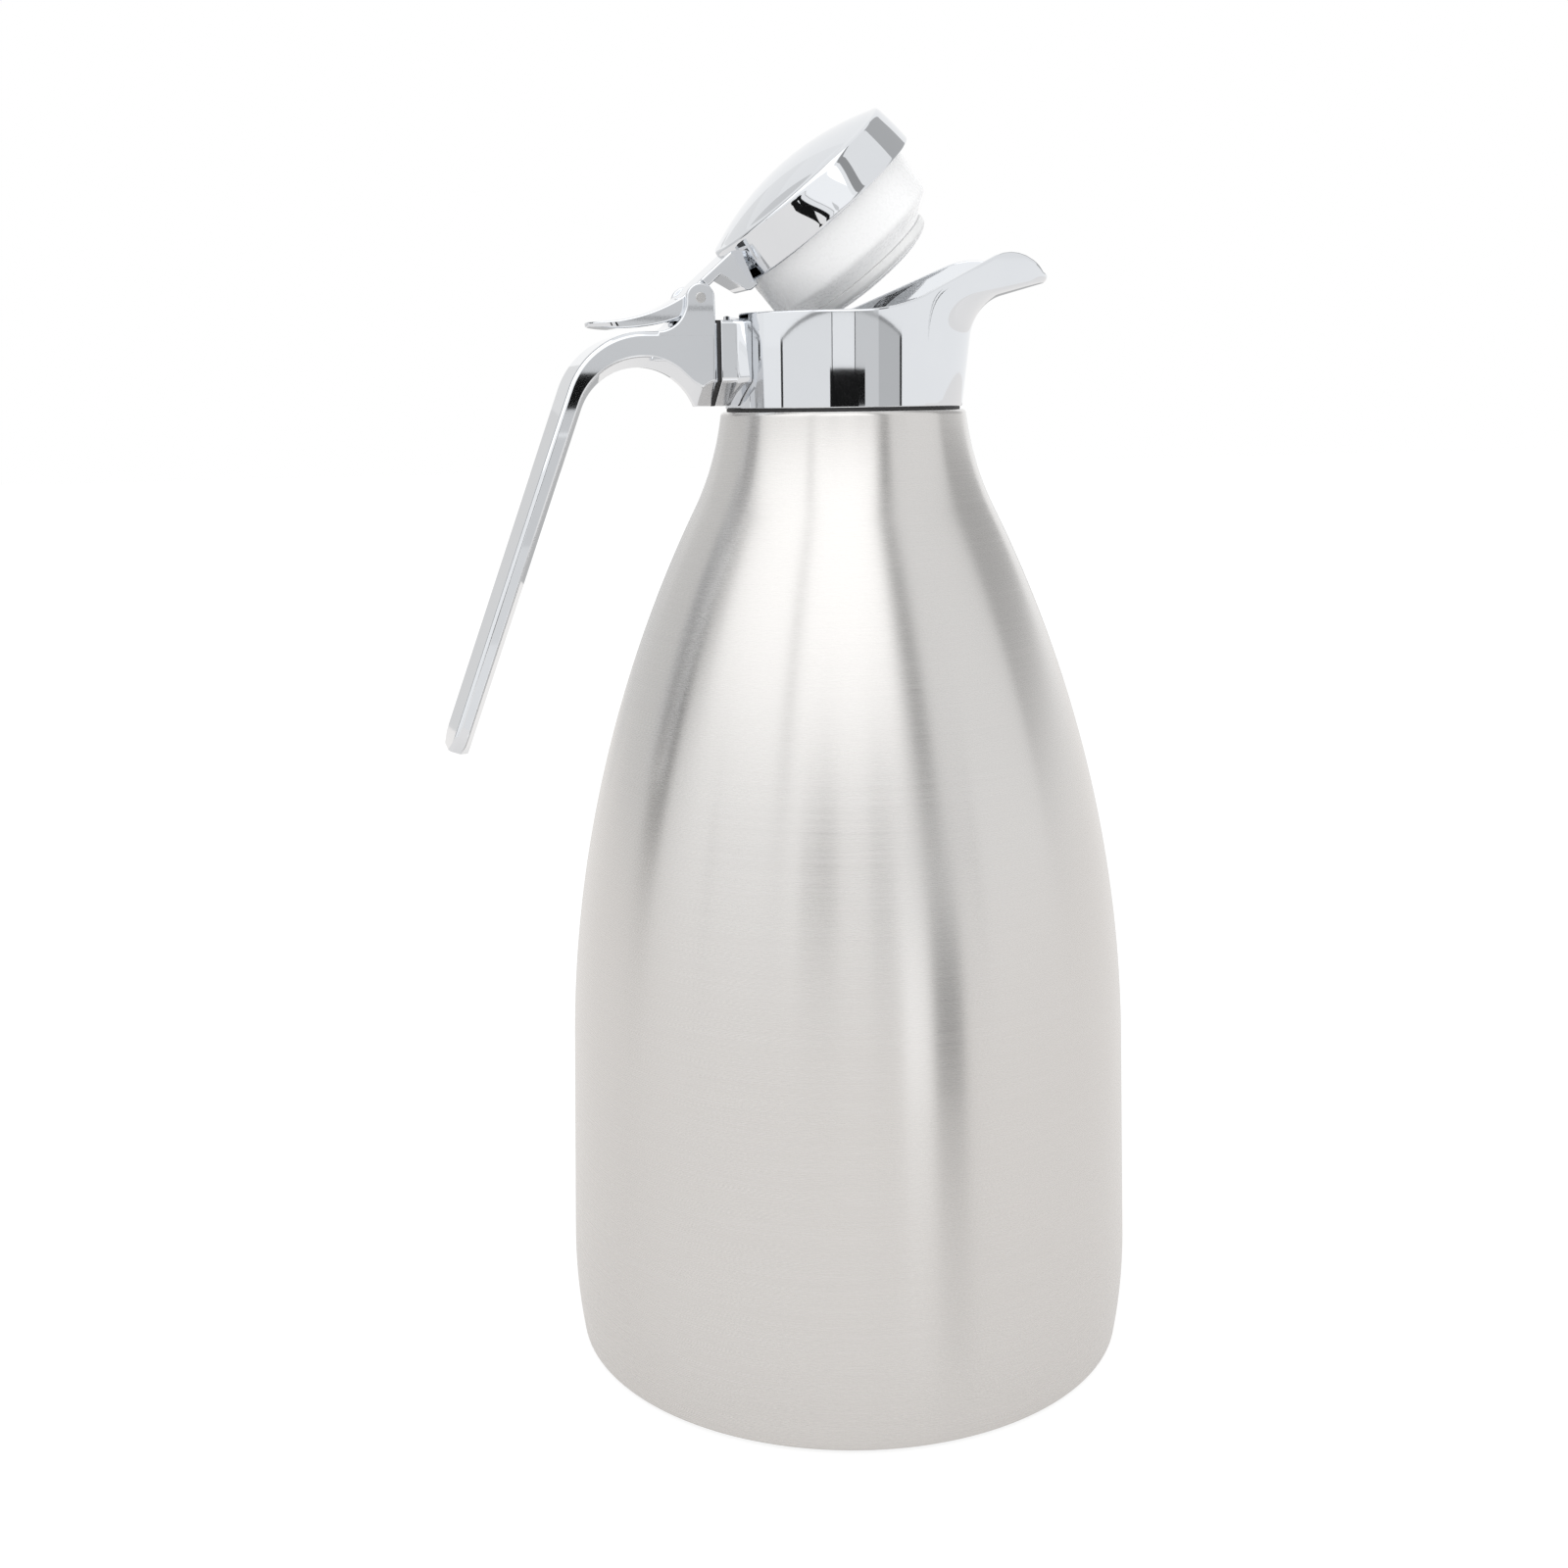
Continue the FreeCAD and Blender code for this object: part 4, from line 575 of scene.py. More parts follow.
def boss():
    """Block behind the collar: the root section carried from the handle's face to the collar's wall. Near
    the wall its sides turn out in a facet that is widest at mid height."""
    section = root_section(BOSS_TOP, ROOT_HALF, 0.8)
    share = np.concatenate([[0.0, 0.02], np.linspace(0.06, 1, 36)])[:, None]
    level = (section[None, :, 1] - FACET_LEVEL) / FACET_HEIGHT
    swell = FACET_SWELL * np.maximum(1 - level ** 2, 0) * (np.abs(section[None, :, 0]) / ROOT_HALF) ** 4
    start = 0.5 + 0.2 * (1 - level ** 2)
    facet = np.clip((share - start) / (1 - start), 0, 1)
    shrink = np.where(share == 0, 0.985, 1.0)
    across = section[None, :, 0] * shrink + np.sign(section[None, :, 0]) * swell * facet
    up = BOSS_TOP + (section[None, :, 1] - BOSS_TOP) * shrink + 0 * share
    seat = COLLAR_RADIUS - 0.5
    wall_line = -np.sqrt(np.maximum(seat ** 2 - across ** 2, 1))
    notched = (up > NOTCH_FLOOR) & (np.abs(across) < NOTCH_HALF + 0.4)
    wall_line = np.where(notched, -seat - 0.1, wall_line)
    reach = -BOSS_REACH + (wall_line + BOSS_REACH) * share
    points = np.stack([reach, across, up], axis=-1)
    middle = np.array([0, 0, (BOSS_TOP + BOSS_SIDE) / 2])
    caps = [np.broadcast_to(middle - [place, 0, 0], points[:1].shape) for place in (BOSS_REACH, seat + 0.1)]
    points = np.concatenate([caps[0], points, caps[1]])
    return points, grid_faces(len(points), len(section), False, True)


def make_handle_strip():
    """Black strip between the boss and the handle's root."""
    section = root_section(BOSS_TOP, ROOT_HALF, 0.5) * [0.985, 1]
    reach = np.array([-BOSS_REACH, -BOSS_REACH, -HANDLE_FACE, -HANDLE_FACE])
    middle = np.broadcast_to([0, STRIP_MIDDLE], section.shape)
    plans = np.stack([middle, section, section, middle])
    points = np.concatenate([np.broadcast_to(reach[:, None, None], plans.shape[:2] + (1,)), plans], axis=-1)
    item = put_mesh("handle_strip", [(points, grid_faces(4, len(section), False, True))], RUBBER)
    settle(item, "jug", "black_rubber", "handle_gasket")


# Handle

ARM_TOP, BEND_REACH, BEND_RADIUS = 271.1, 53.0, 20.5
BEND_LEVEL = ARM_TOP - BEND_RADIUS
FINGER_REACH, FINGER_LEVEL, FINGER_RADIUS = 53.6, 247.2, 15.5
GRIP_LEAN, GRIP_LENGTH, GRIP_CORNER = 20.6, 90.2, 4.0
EAR_RADIUS, EAR_SWEEP, EAR_THICKNESS = 3.5, 7.4, 2.3
SLOT_FLOOR = 273.75
ROOT_BEVEL, GRIP_BEVEL, BEVEL_RUN, EDGE_BEVEL = 6.1, 2.3, 9.0, 0.8
EAR_LOW, EAR_BACK, EAR_PROUD, EAR_EDGE = 264.0, 52.0, 0.03, 0.35
EAR_LEAN, EAR_LEAN_LEVEL = 0.005, 276.0
END_DOME = 0.45


def handle_lines():
    """Outer and inner lines of the handle in side view, station by station from root to grip end:
    root, sweep down to the arm with the finger arc under it, bend, and straight grip."""
    lean = math.radians(GRIP_LEAN)
    sweep_middle = (-PIN_REACH - EAR_RADIUS - EAR_SWEEP, ARM_TOP + EAR_SWEEP)
    sweep_start = math.degrees(math.asin((SLOT_FLOOR - sweep_middle[1]) / EAR_SWEEP))
    sweep = arc(sweep_middle, EAR_SWEEP, sweep_start, -90, 10)
    root_angle = math.degrees(math.asin((BOSS_BOTTOM - FINGER_LEVEL) / FINGER_RADIUS))
    finger = (-FINGER_REACH, FINGER_LEVEL)
    root_end = (-FINGER_REACH + FINGER_RADIUS * math.cos(math.radians(root_angle)), BOSS_BOTTOM)
    bend = arc((-BEND_REACH, BEND_LEVEL), BEND_RADIUS, 90, 180 - GRIP_LEAN, 26)
    down = np.array([-math.sin(lean), -math.cos(lean)])
    grip_start = np.array(finger) + FINGER_RADIUS * np.array([-math.cos(lean), math.sin(lean)])
    grip_end = grip_start + down * GRIP_LENGTH
    outer_end = bend[-1] + down * (down @ (grip_end - bend[-1]))
    outer = [line((-HANDLE_FACE, SLOT_FLOOR), sweep[0], 10)[:-1], sweep[:-1],
             line(sweep[-1], (-BEND_REACH, ARM_TOP), 4)[:-1], bend[:-1], line(bend[-1], outer_end, 40)]
    finger_arc = arc(finger, FINGER_RADIUS, root_angle, 90, 24)
    under = np.concatenate([line((-HANDLE_FACE, BOSS_BOTTOM), root_end, 3)[:-1], finger_arc])
    inner = [under[np.linspace(0, len(under) - 1, 25).round().astype(int)][:-1],
             arc(finger, FINGER_RADIUS, 90, 180 - GRIP_LEAN, 26)[:-1], line(grip_start, grip_end, 40)]
    return np.concatenate(outer), np.concatenate(inner)


def carried(outer, inner, corners, radii):
    """Sections carried along a bar in side view. Corners are (across, depth) pairs with a value for each
    station; depth runs from the outer line towards the inner one."""
    down = inner - outer
    down = down / np.linalg.norm(down, axis=1, keepdims=True)
    flat = np.stack([np.stack(pair, axis=-1) for pair in corners])
    sections = soften_stack(flat, radii)
    points = np.empty(sections.shape[:2] + (3,))
    points[..., 0] = outer[None, :, 0] + sections[..., 1] * down[None, :, 0]
    points[..., 1] = sections[..., 0]
    points[..., 2] = outer[None, :, 1] + sections[..., 1] * down[None, :, 1]
    return points.transpose(1, 0, 2)


def capped(points, first_push, last_push):
    """Closes both ends of a run of sections: two smaller rings pushed slightly out, then the middle."""
    def cap(ring, push):
        middle = ring.mean(axis=0)
        push = np.asarray(push, float)
        return [middle + (ring - middle) * 0.97 + push * 0.65, middle + (ring - middle) * 0.9 + push,
                np.broadcast_to(middle + push, ring.shape)]

    first = np.stack(cap(points[0], first_push)[::-1])
    last = np.stack(cap(points[-1], last_push))
    points = np.concatenate([first, points, last])
    return points, grid_faces(len(points), points.shape[1], False, True)


def handle_bar():
    """Root, arm, bend and grip: an eight-cornered section carried along the two lines, bevelled to a
    keel on the inner side, narrowing round the corners of the grip's end."""
    outer, inner = handle_lines()
    depth = np.linalg.norm(inner - outer, axis=1)
    from_root = np.concatenate([[0], np.cumsum(np.linalg.norm(np.diff(inner, axis=0), axis=1))])
    to_end = from_root[-1] - from_root
    ease = np.clip(from_root / BEVEL_RUN, 0, 1)
    ease = ease * ease * (3 - 2 * ease)
    under_bevel = ROOT_BEVEL * (1 - ease) + GRIP_BEVEL * ease
    corner = np.clip(GRIP_CORNER - to_end, 0, GRIP_CORNER)
    half = ROOT_HALF - (GRIP_CORNER - np.sqrt(np.maximum(GRIP_CORNER ** 2 - corner ** 2, 0)))
    keel_half = np.full_like(half, KEEL_HALF)
    zero = np.zeros_like(half)
    side_end = depth - under_bevel
    top_half, edge = half - EDGE_BEVEL, zero + EDGE_BEVEL
    corners = [(-top_half, zero), (top_half, zero), (half, edge), (half, side_end),
               (keel_half, depth), (-keel_half, depth), (-half, side_end), (-half, edge)]
    points = carried(outer, inner, corners, [0.35, 0.35, 0.35, 0.5, 0.5, 0.5, 0.5, 0.35])
    lean = math.radians(GRIP_LEAN)
    return capped(points, (0, 0, 0), (-END_DOME * math.sin(lean), 0, -END_DOME * math.cos(lean)))


def soften_stack(corners, radii, steps=4):
    """The same softening for a whole stack of sections at once: corners is (corner, section, 2)."""
    out = []
    count = len(corners)
    for index, radius in enumerate(radii):
        here = corners[index]
        sides = [corners[index - 1] - here, corners[(index + 1) % count] - here]
        ends = []
        for side in sides:
            length = np.linalg.norm(side, axis=1, keepdims=True)
            ends.append(here + side / length * np.minimum(radius, SIDE_SHARE * length))
        out.append(here + (ends[0] - here) * STACK_FLAT_START)
        for share in np.linspace(0, 1, steps + 1):
            out.append((1 - share) ** 2 * ends[0] + 2 * share * (1 - share) * here + share ** 2 * ends[1])
        out.append(here + (ends[1] - here) * STACK_FLAT_START)
    return np.stack(out)


def plate(outline, near, far, edge, steps=4):
    """A closed outline in side view carried across from near to far, its edges rounded by edge, with a
    flat ring inside each rounding and one face over the rest."""
    outline = np.asarray(outline, float)
    along = np.roll(outline, -1, axis=0) - np.roll(outline, 1, axis=0)
    inward = np.stack([-along[:, 1], along[:, 0]], axis=1)
    inward = inward / np.linalg.norm(inward, axis=1, keepdims=True)
    area = np.sum(outline[:, 0] * np.roll(outline[:, 1], -1) - outline[:, 1] * np.roll(outline[:, 0], -1))
    inward = inward * np.sign(area)
    turn = np.linspace(0, math.pi / 2, steps + 1)
    sink = np.concatenate([[edge * 1.4], edge * (1 - np.sin(turn))])
    shift = np.concatenate([[0], edge * (1 - np.cos(turn))])
    across = np.concatenate([near + shift, (far - shift)[::-1]])
    sinks = np.concatenate([sink, sink[::-1]])
    rows = outline[None] + sinks[:, None, None] * inward[None]
    across = np.broadcast_to(across[:, None], rows.shape[:2])
    points = np.stack([rows[..., 0], across, rows[..., 1]], axis=-1)
    count = len(outline)
    faces = grid_faces(len(points), count, False, True).tolist()
    last = (len(points) - 1) * count
    return points, faces + [list(range(count)), list(range(last, last + count))]


def ear_outline():
    """Side view of one hinge ear: straight front, round head over the pin, sweep down to the arm."""
    head = arc((-PIN_REACH, PIN_LEVEL), EAR_RADIUS, 0, 180, 28)
    sweep = arc((-PIN_REACH - EAR_RADIUS - EAR_SWEEP, ARM_TOP + EAR_SWEEP), EAR_SWEEP, 0, -88, 20)
    low_front, low_back = (-HANDLE_FACE - 0.02, EAR_LOW), (-EAR_BACK, EAR_LOW)
    front = line(low_front, head[0], 16)[:-1]
    foot = line(sweep[-1], low_back, 10)[1:]
    under = line(low_back, low_front, 12)[1:-1]
    return np.concatenate([front, head, sweep, foot, under])


def make_handle():
    """Handle: the bar and the two hinge ears, which lean inwards slightly to run out in the root's sides."""
    outer = ROOT_HALF + EAR_PROUD
    inner = ROOT_HALF - EAR_THICKNESS
    ears = []
    for near, far, side in ((-outer, -inner, -1), (inner, outer, 1)):
        points, faces = plate(ear_outline(), near, far, EAR_EDGE)
        points[..., 1] -= side * EAR_LEAN * (EAR_LEAN_LEVEL - points[..., 2])
        ears.append((points, faces))
    item = put_mesh("chrome_handle", [handle_bar(), *ears], CHROME)
    settle(item, "jug", "chrome", "handle")


def make_pin():
    """Hinge pin across the ears, its two ends slightly domed."""
    radius, half, edge = 1.35, 10.15, 0.3
    flat = radius - edge - 0.1
    low = arc((radius - edge, -half + edge), edge, -90, 0, 5)
    profile = np.concatenate([[(0, -half), (flat, -half)], low, low[::-1] * [1, -1],
                              [(flat, half), (0, half)]])
    points, faces = turned(profile, 40, False)
    points = np.stack([points[..., 0] - PIN_REACH, -points[..., 2], points[..., 1] + PIN_LEVEL], axis=-1)
    item = put_mesh("pin", [(points, faces)], FIXING)
    settle(item, "jug", "steel_fixing", "hinge_pin")


# Lid, drawn shut

BAND_BOTTOM, BAND_TOP = 272.9, 282.5
BAND_LOW, BAND_HIGH, BAND_INNER = 27.8, 26.5, 25.2
DOME_EDGE, DOME_RISE, LID_WALL = 25.6, 4.8, 1.3
DOME_LIFT, DOME_TRIM, BAND_BULGE = 0.9, 0.6, 0.1
POST_RADIUS, POST_BORE, POST_LOW, POST_DEPTH = 4.5, 2.02, 276.6, 281.5


def dome(radius, depth):
    """Height of the lid's dome at a radius, measured depth below its top surface."""
    sweep = (DOME_EDGE ** 2 + DOME_RISE ** 2) / (2 * DOME_RISE)
    top = BAND_TOP + DOME_LIFT + DOME_RISE
    return top - sweep + np.sqrt((sweep - depth) ** 2 - np.asarray(radius, float) ** 2)


def make_lid():
    """Lid turned from its profile: domed top, rounded edge, band that widens downwards, hollow
    underside with the post for the stopper's screw."""
    dome_end = DOME_EDGE - DOME_TRIM
    reach = np.linspace(0, dome_end, 40)
    top = np.stack([reach, dome(reach, 0)], axis=1)
    edge = soften([(dome_end, dome(dome_end, 0)), (BAND_HIGH - 0.05, BAND_TOP + 0.75),
                   (BAND_LOW, BAND_BOTTOM), (BAND_INNER, BAND_BOTTOM), (BAND_INNER, BAND_TOP - LID_WALL)],
                  [0, 1.1, 0.8, 0.4, 0.0], 7)
    band = 11
    bulge = line(edge[band - 1], edge[band], 16)
    bulge[:, 0] += BAND_BULGE * np.sin(np.linspace(0, math.pi, len(bulge)))
    edge = np.concatenate([edge[:band - 1], bulge, edge[band + 1:]])
    under = np.linspace(BAND_INNER - LID_WALL, POST_RADIUS, 30)
    inside = np.stack([under, dome(under, LID_WALL)], axis=1)
    post = [(POST_RADIUS, POST_LOW), (POST_BORE, POST_LOW), (POST_BORE, POST_DEPTH), (0, POST_DEPTH)]
    profile = np.concatenate([top, edge[1:], inside, post])
    item = put_mesh("chrome_lid", opened([turned(profile, 224, False)]), CHROME)
    settle(item, "lid", "chrome", "lid_cover")


def bow(start, end, radius, side, steps):
    """Arc of a radius between two points; its centre is on the left of travel for side 1."""
    start, end = np.asarray(start, float), np.asarray(end, float)
    chord = end - start
    length = np.linalg.norm(chord)
    left = np.array([-chord[1], chord[0]]) / length
    centre = (start + end) / 2 + left * side * math.sqrt(radius ** 2 - length ** 2 / 4)
    first = math.degrees(math.atan2(*(start - centre)[::-1]))
    last = math.degrees(math.atan2(*(end - centre)[::-1]))
    last = first + (last - first + 180) % 360 - 180
    return arc(centre, radius, first, last, steps)


LEVER_HALF, LEVER_CORNER, LEVER_EDGE = 7.4, 5.0, 0.45
THUMB_TOP_SWEEP, THUMB_UNDER_SWEEP, THUMB_SWELL = 43.0, 61.0, 0.5
THUMB_TURN, THUMB_TIP = 35.0, 1.1
KNUCKLE_RADIUS, KNUCKLE_TURN = 3.2, 37.0
ARM_LOW, ARM_HIGH, ARM_START, ARM_END = 0.4, 2.9, -2.8, 8.1
BLOCK_BEND, BLOCK_LOW, BLOCK_END, BLOCK_ROUND = 10.4, -7.4, 13.9, 1.6
LEVER_STOP = 26.3


def lever_lines():
    """Upper and lower lines of the lever in side view from its tip: thumb plate, knuckle round the pin,
    arm and the block on the lid's band."""
    tip = (-23.7, 13.3)
    tip_turn, knuckle_turn = math.radians(THUMB_TURN), math.radians(KNUCKLE_TURN)
    tip_low = (tip[0] - THUMB_TIP * math.sin(tip_turn), tip[1] - THUMB_TIP * math.cos(tip_turn))
    knuckle = (-KNUCKLE_RADIUS * math.cos(knuckle_turn), -KNUCKLE_RADIUS * math.sin(knuckle_turn))
    arm_start = math.sqrt(KNUCKLE_RADIUS ** 2 - ARM_LOW ** 2)
    knuckle_end = 360 + math.degrees(math.asin(ARM_LOW / KNUCKLE_RADIUS))
    thumb = bow((ARM_START, ARM_HIGH), tip, THUMB_TOP_SWEEP, -1, 48)[::-1]
    under_thumb = bow(tip_low, knuckle, THUMB_UNDER_SWEEP, 1, 48)
    down = under_thumb - thumb
    down /= np.linalg.norm(down, axis=1)[:, None]
    swell = THUMB_SWELL * np.sin(np.linspace(0, math.pi, len(down)))
    under_thumb = under_thumb + down * swell[:, None]
    block_start = (BLOCK_BEND, BLOCK_LOW + BLOCK_ROUND)
    block_flat = (BLOCK_BEND + BLOCK_ROUND, BLOCK_LOW)
    body = np.concatenate([
        arc((0, 0), KNUCKLE_RADIUS, 180 + KNUCKLE_TURN, knuckle_end, 24)[1:],
        line((arm_start, ARM_LOW), (ARM_END, ARM_LOW), 6)[1:],
        line((ARM_END, ARM_LOW), block_start, 10)[1:],
        bow(block_start, block_flat, BLOCK_ROUND, 1, 8)[1:],
        line(block_flat, (BLOCK_END, BLOCK_LOW), 3)[1:],
    ])
    reach = np.maximum.accumulate(body[:, 0])
    top_reach = np.interp(reach, [knuckle[0], BLOCK_END], [ARM_START, BLOCK_END])
    top = np.stack([top_reach, np.full_like(top_reach, ARM_HIGH)], axis=1)
    pin = np.array([-PIN_REACH, PIN_LEVEL])
    return np.concatenate([thumb, top]) + pin, np.concatenate([under_thumb, body]) + pin


def make_lever():
    """Lever: a rounded bar carried along its two lines, narrowed round the corners of the thumb plate's
    tip, and ended inside the wall of the lid's band."""
    upper, lower = lever_lines()
    depth = np.linalg.norm(lower - upper, axis=1)
    near_tip = np.clip(LEVER_CORNER - (upper[:, 0] - upper[0, 0]), 0, LEVER_CORNER)
    half = LEVER_HALF - (LEVER_CORNER - np.sqrt(LEVER_CORNER ** 2 - near_tip ** 2))
    zero = np.zeros_like(half)
    corners = [(-half, zero), (half, zero), (half, depth), (-half, depth)]
    points = carried(upper, lower, corners, [LEVER_EDGE] * 4)
    points, faces = capped(points, (-0.2, 0, 0.1), (0, 0, 0))
    stop = -np.sqrt(LEVER_STOP ** 2 - np.minimum(np.abs(points[..., 1]), LEVER_HALF) ** 2)
    points[..., 0] = np.minimum(points[..., 0], stop)
    item = put_mesh("chrome_lever", opened([(points, faces)]), CHROME)
    settle(item, "lid", "chrome", "thumb_lever")


STOPPER_TOP, SEAL_PLAY = 275.0, 0.02


def make_stopper():
    """Hollow stopper cup with its seal and carrier plate, turned from softened profiles."""
    slope = funnel_cone()[1]
    seal_low = SEAT_LEVEL + 1.3
    seal_radius = SEAT_RADIUS + slope * 2.3 - 0.4
    seal_bore = seal_radius - 2.3
    seal_top = seal_low + 2.8
    lip = seal_bore + 0.8
    outside, inside = 24.3, 22.7
    low, floor = SEAT_LEVEL + 0.1, SEAT_LEVEL + 1.7
    step, shoulder, cup_wall = SEAT_LEVEL + 5.6, SEAT_LEVEL + 8.9, 0.6
    core = seal_bore - 2.0
    cup = [(0, low), (lip - 2.4, low), (lip, seal_low - 0.3), (lip, seal_low), (seal_bore, seal_low),
           (seal_bore, seal_top), (lip + 0.8, seal_top), (seal_radius + 0.5, step), (outside, shoulder),
           (outside, STOPPER_TOP), (inside, STOPPER_TOP), (inside, shoulder + cup_wall),
           (core, step + cup_wall), (core, floor), (0, floor)]
    radii = [0, 0.9, 0.2, 0.1, 0.1, 0.1, 0.3, 0.7, 1.1, 0.3, 0.3, 0.6, 0.5, 0.5, 0]
    item = put_mesh("stopper_body", opened([turned(soften(cup, radii), 192, False)]), WHITE_PAINTED_GLOW)
    settle(item, "lid", "white_plastic", "stopper_cup")
    bore, bottom, top = seal_bore + SEAL_PLAY, seal_low + SEAL_PLAY, seal_top - SEAL_PLAY
    seal = [(bore, bottom), (seal_radius - 1.0, bottom), (seal_radius, bottom + 1.0), (seal_radius, top),
            (bore, top)]
    seal_radii = [0.1, 0.4, 0.5, 0.5, 0.1]
    item = put_mesh("stopper_gasket", opened([turned(soften(seal, seal_radii), 192)]), SILICONE)
    settle(item, "lid", "silicone", "stopper_seal")
    bore, rib_inside, rib_outside, rib_low, edge = 2.1, 21.0, 22.6, 272.8, 24.9
    carrier = [(bore, STOPPER_TOP), (rib_inside, STOPPER_TOP), (rib_inside, rib_low), (rib_outside, rib_low),
               (rib_outside, STOPPER_TOP), (edge, STOPPER_TOP), (edge, POST_LOW), (bore, POST_LOW)]
    item = put_mesh("stopper_carrier", opened([turned(soften(carrier, [0.2] * 8), 160)]), WHITE_PAINTED_GLOW)
    settle(item, "lid", "white_plastic", "stopper_plate")


make_shell()
make_liner()
make_base()
make_funnel()
make_neck_ring()
make_collar()
make_handle_strip()
make_handle()
make_pin()
make_lid()
make_lever()
make_stopper()

CAD_FINISHES = {
    "base_plate": BASE,
    "getter_capsule": FIXING,
    "vent_plug": BRASS,
    "handle_screw_near": FIXING,
    "handle_screw_far": FIXING,
    "lever_screw_near": FIXING,
    "lever_screw_far": FIXING,
    "stopper_screw": FIXING,
    "screw_washer": FIXING,
    "stopper_foam": FOAM,
}
for node, material in CAD_FINISHES.items():
    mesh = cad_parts[node].data
    mesh.materials.clear()
    mesh.materials.append(material)


# Studio

CAMERA_PLACE = Vector((-0.1374, -0.4495, 0.2551))
CAMERA_TURN = [math.radians(angle) for angle in (77.752, 0.744, -15.149)]
CAMERA_LENS = 40.95
CAMERA_AZIMUTH = math.degrees(math.atan2(CAMERA_PLACE.y, CAMERA_PLACE.x))
CARD_MIDDLE, FLOOR_MIDDLE = (0.0, 0.0, 0.25), (0.0, 0.0, 0.0)
BOARD_AWAY, STAND_AWAY = 0.5, 0.495
LAMP_AIM = (0, 0, 0.18)


def glow(name, level):
    """Even white light of one level, for cards and panels."""
    material, paint = finish(name)
    shader = paint.node("Emission", inputs={"Color": rgb(1, 1, 1), "Strength": level})
    paint.node("OutputMaterial", inputs={"Surface": shader})
    return material


def hang(name, level, points):
    """A sheet of even light seen only in reflections, from a grid of points in metres."""
    points = np.asarray(points, float)
    mesh = bpy.data.meshes.new(name)
    mesh.from_pydata(points.reshape(-1, 3).tolist(), [], grid_faces(*points.shape[:2]).tolist())
    mesh.materials.append(glow(f"{name}_light", level))
    item = bpy.data.objects.new(name, mesh)
    bpy.context.collection.objects.link(item)
    item.visible_camera = False
    item.visible_diffuse = False
    item.visible_shadow = False
    item.visible_transmission = False


def card(name, level, bearing, height, distance, middle=CARD_MIDDLE):
    """Patch of a round wall about the part: bearing is the range of angles to the right of the camera,
    height the range of elevations, both in degrees."""
    angle = np.radians(CAMERA_AZIMUTH + np.linspace(bearing[0], bearing[1], 33))
    rise = np.radians(np.linspace(height[0], height[1], 17))
    flat = np.stack([np.cos(angle), np.sin(angle)], axis=-1)
    points = np.empty((17, 33, 3))
    points[..., :2] = np.cos(rise)[:, None, None] * flat[None]
    points[..., 2] = np.sin(rise)[:, None]
    hang(name, level, points * distance + np.array(middle))


def screen(name, level, across, height, distance=BOARD_AWAY):
    """Flat upright sheet that faces the part from beside the camera: across is its range to the right of
    the camera's bearing and height its range of levels, in metres."""
    angle = math.radians(CAMERA_AZIMUTH)
    towards = np.array([math.cos(angle), math.sin(angle), 0])
    right = np.array([-math.sin(angle), math.cos(angle), 0])
    sheet = [[towards * distance + right * side + np.array([0, 0, level_up]) for side in across]
             for level_up in height]
    hang(name, level, sheet)


def make_cards():
    """What the metal mirrors: softboxes, flags, side walls, and the board with the dark camera stand."""
    card("softbox_left", 1.54, (-80, -33), (20, 74), 2.0)
    card("softbox_right", 1.58, (-27, 30), (20, 74), 2.0)
    card("softbox_gap", 1.0, (-33, -27), (-4, 74), 2.0)
    card("softbox_low_left", 1.04, (-80, -33), (2, 20), 2.0)
    card("softbox_low_right", 1.12, (-27, 30), (2, 20), 2.0)
    card("flag_left", 0.08, (-101, -89), (0, 66), 1.9)
    card("flag_right", 0.36, (34, 43), (6, 66), 1.9)
    card("wall_right", 0.94, (43, 100), (5, 70), 2.1)
    card("low_flag", 0.3, (31, 42), (0, 23), 0.35, FLOOR_MIDDLE)
    card("low_shine", 1.3, (20, 30), (0, 23), 0.35, FLOOR_MIDDLE)
    card("wall_right_back", 0.5, (100, 148), (6, 60), 2.1)
    card("wall_left_back", 0.72, (-140, -101), (-4, 62), 2.1)
    card("back_floor", 0.5, (165, 195), (-18, -1.5), 1.2)
    card("back_left", 0.72, (-166, -140), (-12, 5), 2.1)
    card("back_left_middle", 0.8, (-160, -140), (5, 16), 2.1)
    card("back_left_high", 0.87, (-156, -136), (16, 27), 2.1)
    card("back_left_upper", 0.92, (-156, -136), (27, 36), 2.1)
    card("back_left_top", 0.96, (-156, -136), (36, 46), 2.1)
    low, high = 0.238, 0.296
    screen("board_left", 0.92, (-0.80, -0.088), (low, high))
    screen("board_middle", 0.98, (-0.08, 0.096), (low, high))
    screen("board_right", 0.72, (0.104, 0.33), (low, 0.335))
    screen("board_foot", 0.74, (0.085, 0.165), (0.18, 0.236))
    screen("board_foot_middle", 0.84, (0.085, 0.165), (0.13, 0.18))
    screen("board_foot_low", 0.92, (0.085, 0.165), (0.08, 0.13))
    screen("board_right_end", 0.58, (0.33, 0.71), (low, high))
    screen("board_left_edge", 0.05, (-0.88, -0.80), (low, high))
    screen("board_right_edge", 0.05, (0.71, 0.775), (low, high))
    screen("board_left_seam", 0.2, (-0.088, -0.08), (low, high))
    screen("board_right_seam", 0.2, (0.096, 0.104), (low, high))
    screen("board_top", 0.3, (-0.88, 0.775), (high, high + 0.0025))
    screen("camera_stand", 0.01, (-0.102, 0.128), (0.244, 0.2685), STAND_AWAY)
    screen("camera_grip", 0.01, (0.128, 0.185), (0.250, 0.2685), STAND_AWAY)
    screen("camera_body", 0.01, (-0.16, -0.03), (0.195, 0.244), STAND_AWAY)


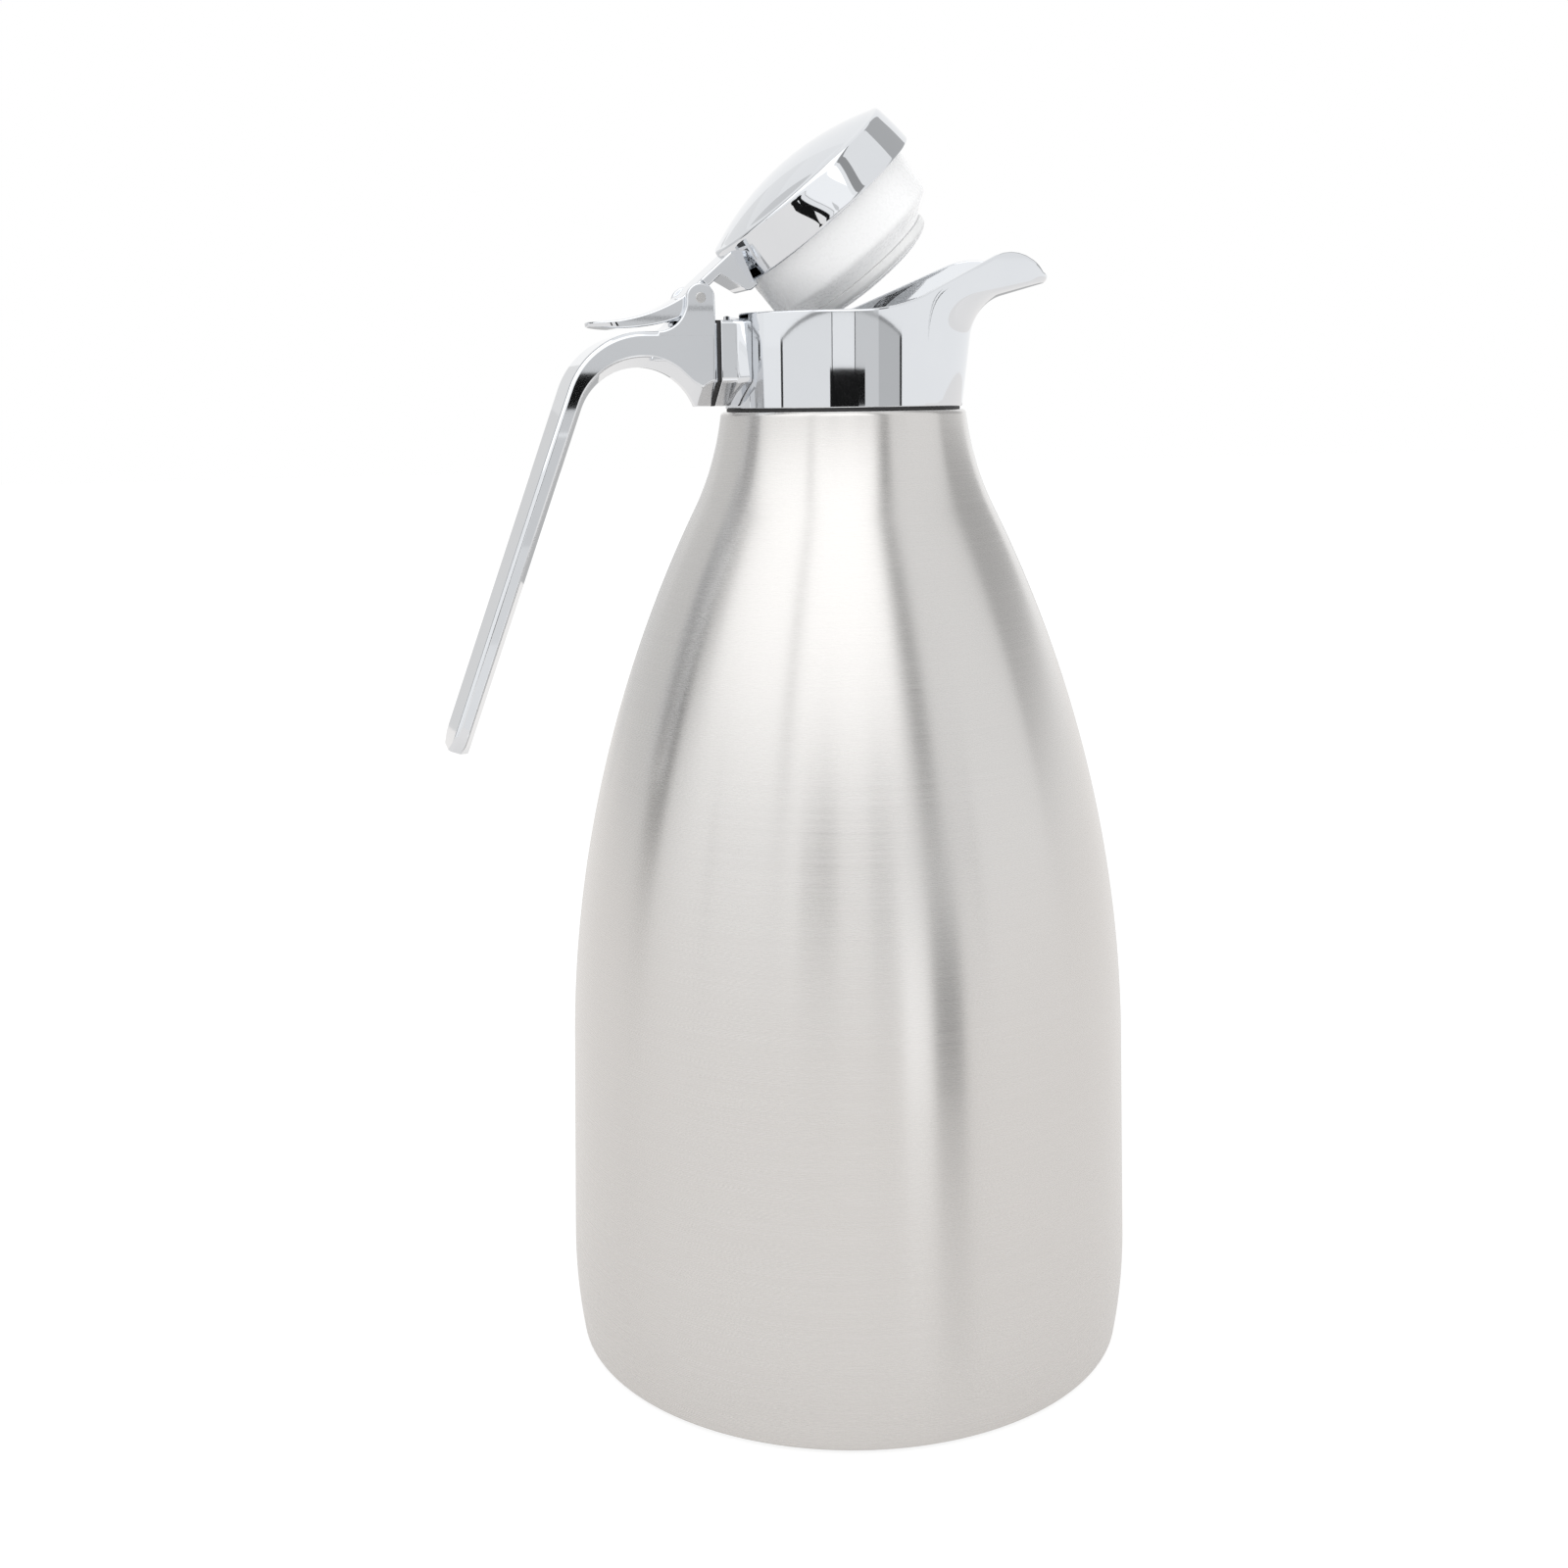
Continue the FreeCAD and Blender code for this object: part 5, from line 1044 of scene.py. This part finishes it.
def white_sheet(paint, shade, level, tone):
    """A sheet that shines at a level of its own and also takes shadows with a share of its tone."""
    shaded = rgb(*(shade * part for part in tone))
    diffuse = paint.node("BsdfDiffuse", inputs={"Color": shaded})
    lit = paint.node("Emission", inputs={"Color": rgb(*tone), "Strength": level})
    return paint.node("AddShader", inputs={0: diffuse, 1: lit})


def make_floor():
    """Pale floor: white to the camera and in the metal, with the part's soft shadow kept."""
    mesh = bpy.data.meshes.new("floor")
    side = 6.0
    corners = [(-side, -side, 0), (side, -side, 0), (side, side, 0), (-side, side, 0)]
    mesh.from_pydata(corners, [], [(0, 1, 2, 3)])
    floor = bpy.data.objects.new("floor", mesh)
    bpy.context.collection.objects.link(floor)
    material, paint = finish("floor_white")
    light = paint.node("LightPath", output="Is Camera Ray")
    gloss = paint.node("LightPath", output="Is Glossy Ray")
    through = paint.node("LightPath", output="Is Transmission Ray")
    direct = light.maths("MAXIMUM", light, through)
    pale = paint.node("BsdfDiffuse", inputs={"Color": rgb(0.85, 0.85, 0.85)})
    warm_white, plain_white = (1.0, 0.978, 0.96), (1.0, 1.0, 1.0)
    mirrored = white_sheet(paint, 0.42, 0.5, warm_white)
    seen = white_sheet(paint, 0.24, 0.84, plain_white)
    surface = paint.node("MixShader", inputs={0: gloss, 1: pale, 2: mirrored})
    surface = paint.node("MixShader", inputs={0: direct, 1: surface, 2: seen})
    paint.node("OutputMaterial", inputs={"Surface": surface})
    mesh.materials.append(material)


def make_world():
    """Even white surroundings."""
    world = bpy.data.worlds.new("studio")
    bpy.context.scene.world = world
    paint = Paint(world)
    shader = paint.node("Background", inputs={"Color": rgb(1, 1, 1), "Strength": 1.0})
    paint.node("OutputWorld", inputs={"Surface": shader})


def lamp(name, power, size, place):
    """A square lamp turned towards the part, which shows neither to the camera nor in the metal."""
    data = bpy.data.lights.new(name, "AREA")
    data.energy = power
    data.shape = "SQUARE"
    data.size = size
    item = bpy.data.objects.new(name, data)
    bpy.context.collection.objects.link(item)
    item.location = place
    item.rotation_euler = (Vector(LAMP_AIM) - Vector(place)).to_track_quat("-Z", "Y").to_euler()
    item.visible_glossy = False
    item.visible_camera = False


def make_camera():
    data = bpy.data.cameras.new("camera")
    data.lens = CAMERA_LENS
    data.sensor_width = 36.0
    data.clip_start = 0.01
    item = bpy.data.objects.new("camera", data)
    bpy.context.collection.objects.link(item)
    item.location = CAMERA_PLACE
    item.rotation_euler = CAMERA_TURN
    bpy.context.scene.camera = item


make_cards()
make_floor()
make_world()
lamp("key", 4.0, 1.2, (-1.3, -1.5, 1.9))
lamp("fill", 3.0, 1.4, (1.9, -0.9, 1.2))
make_camera()
bpy.context.scene.view_settings.view_transform = "Standard"
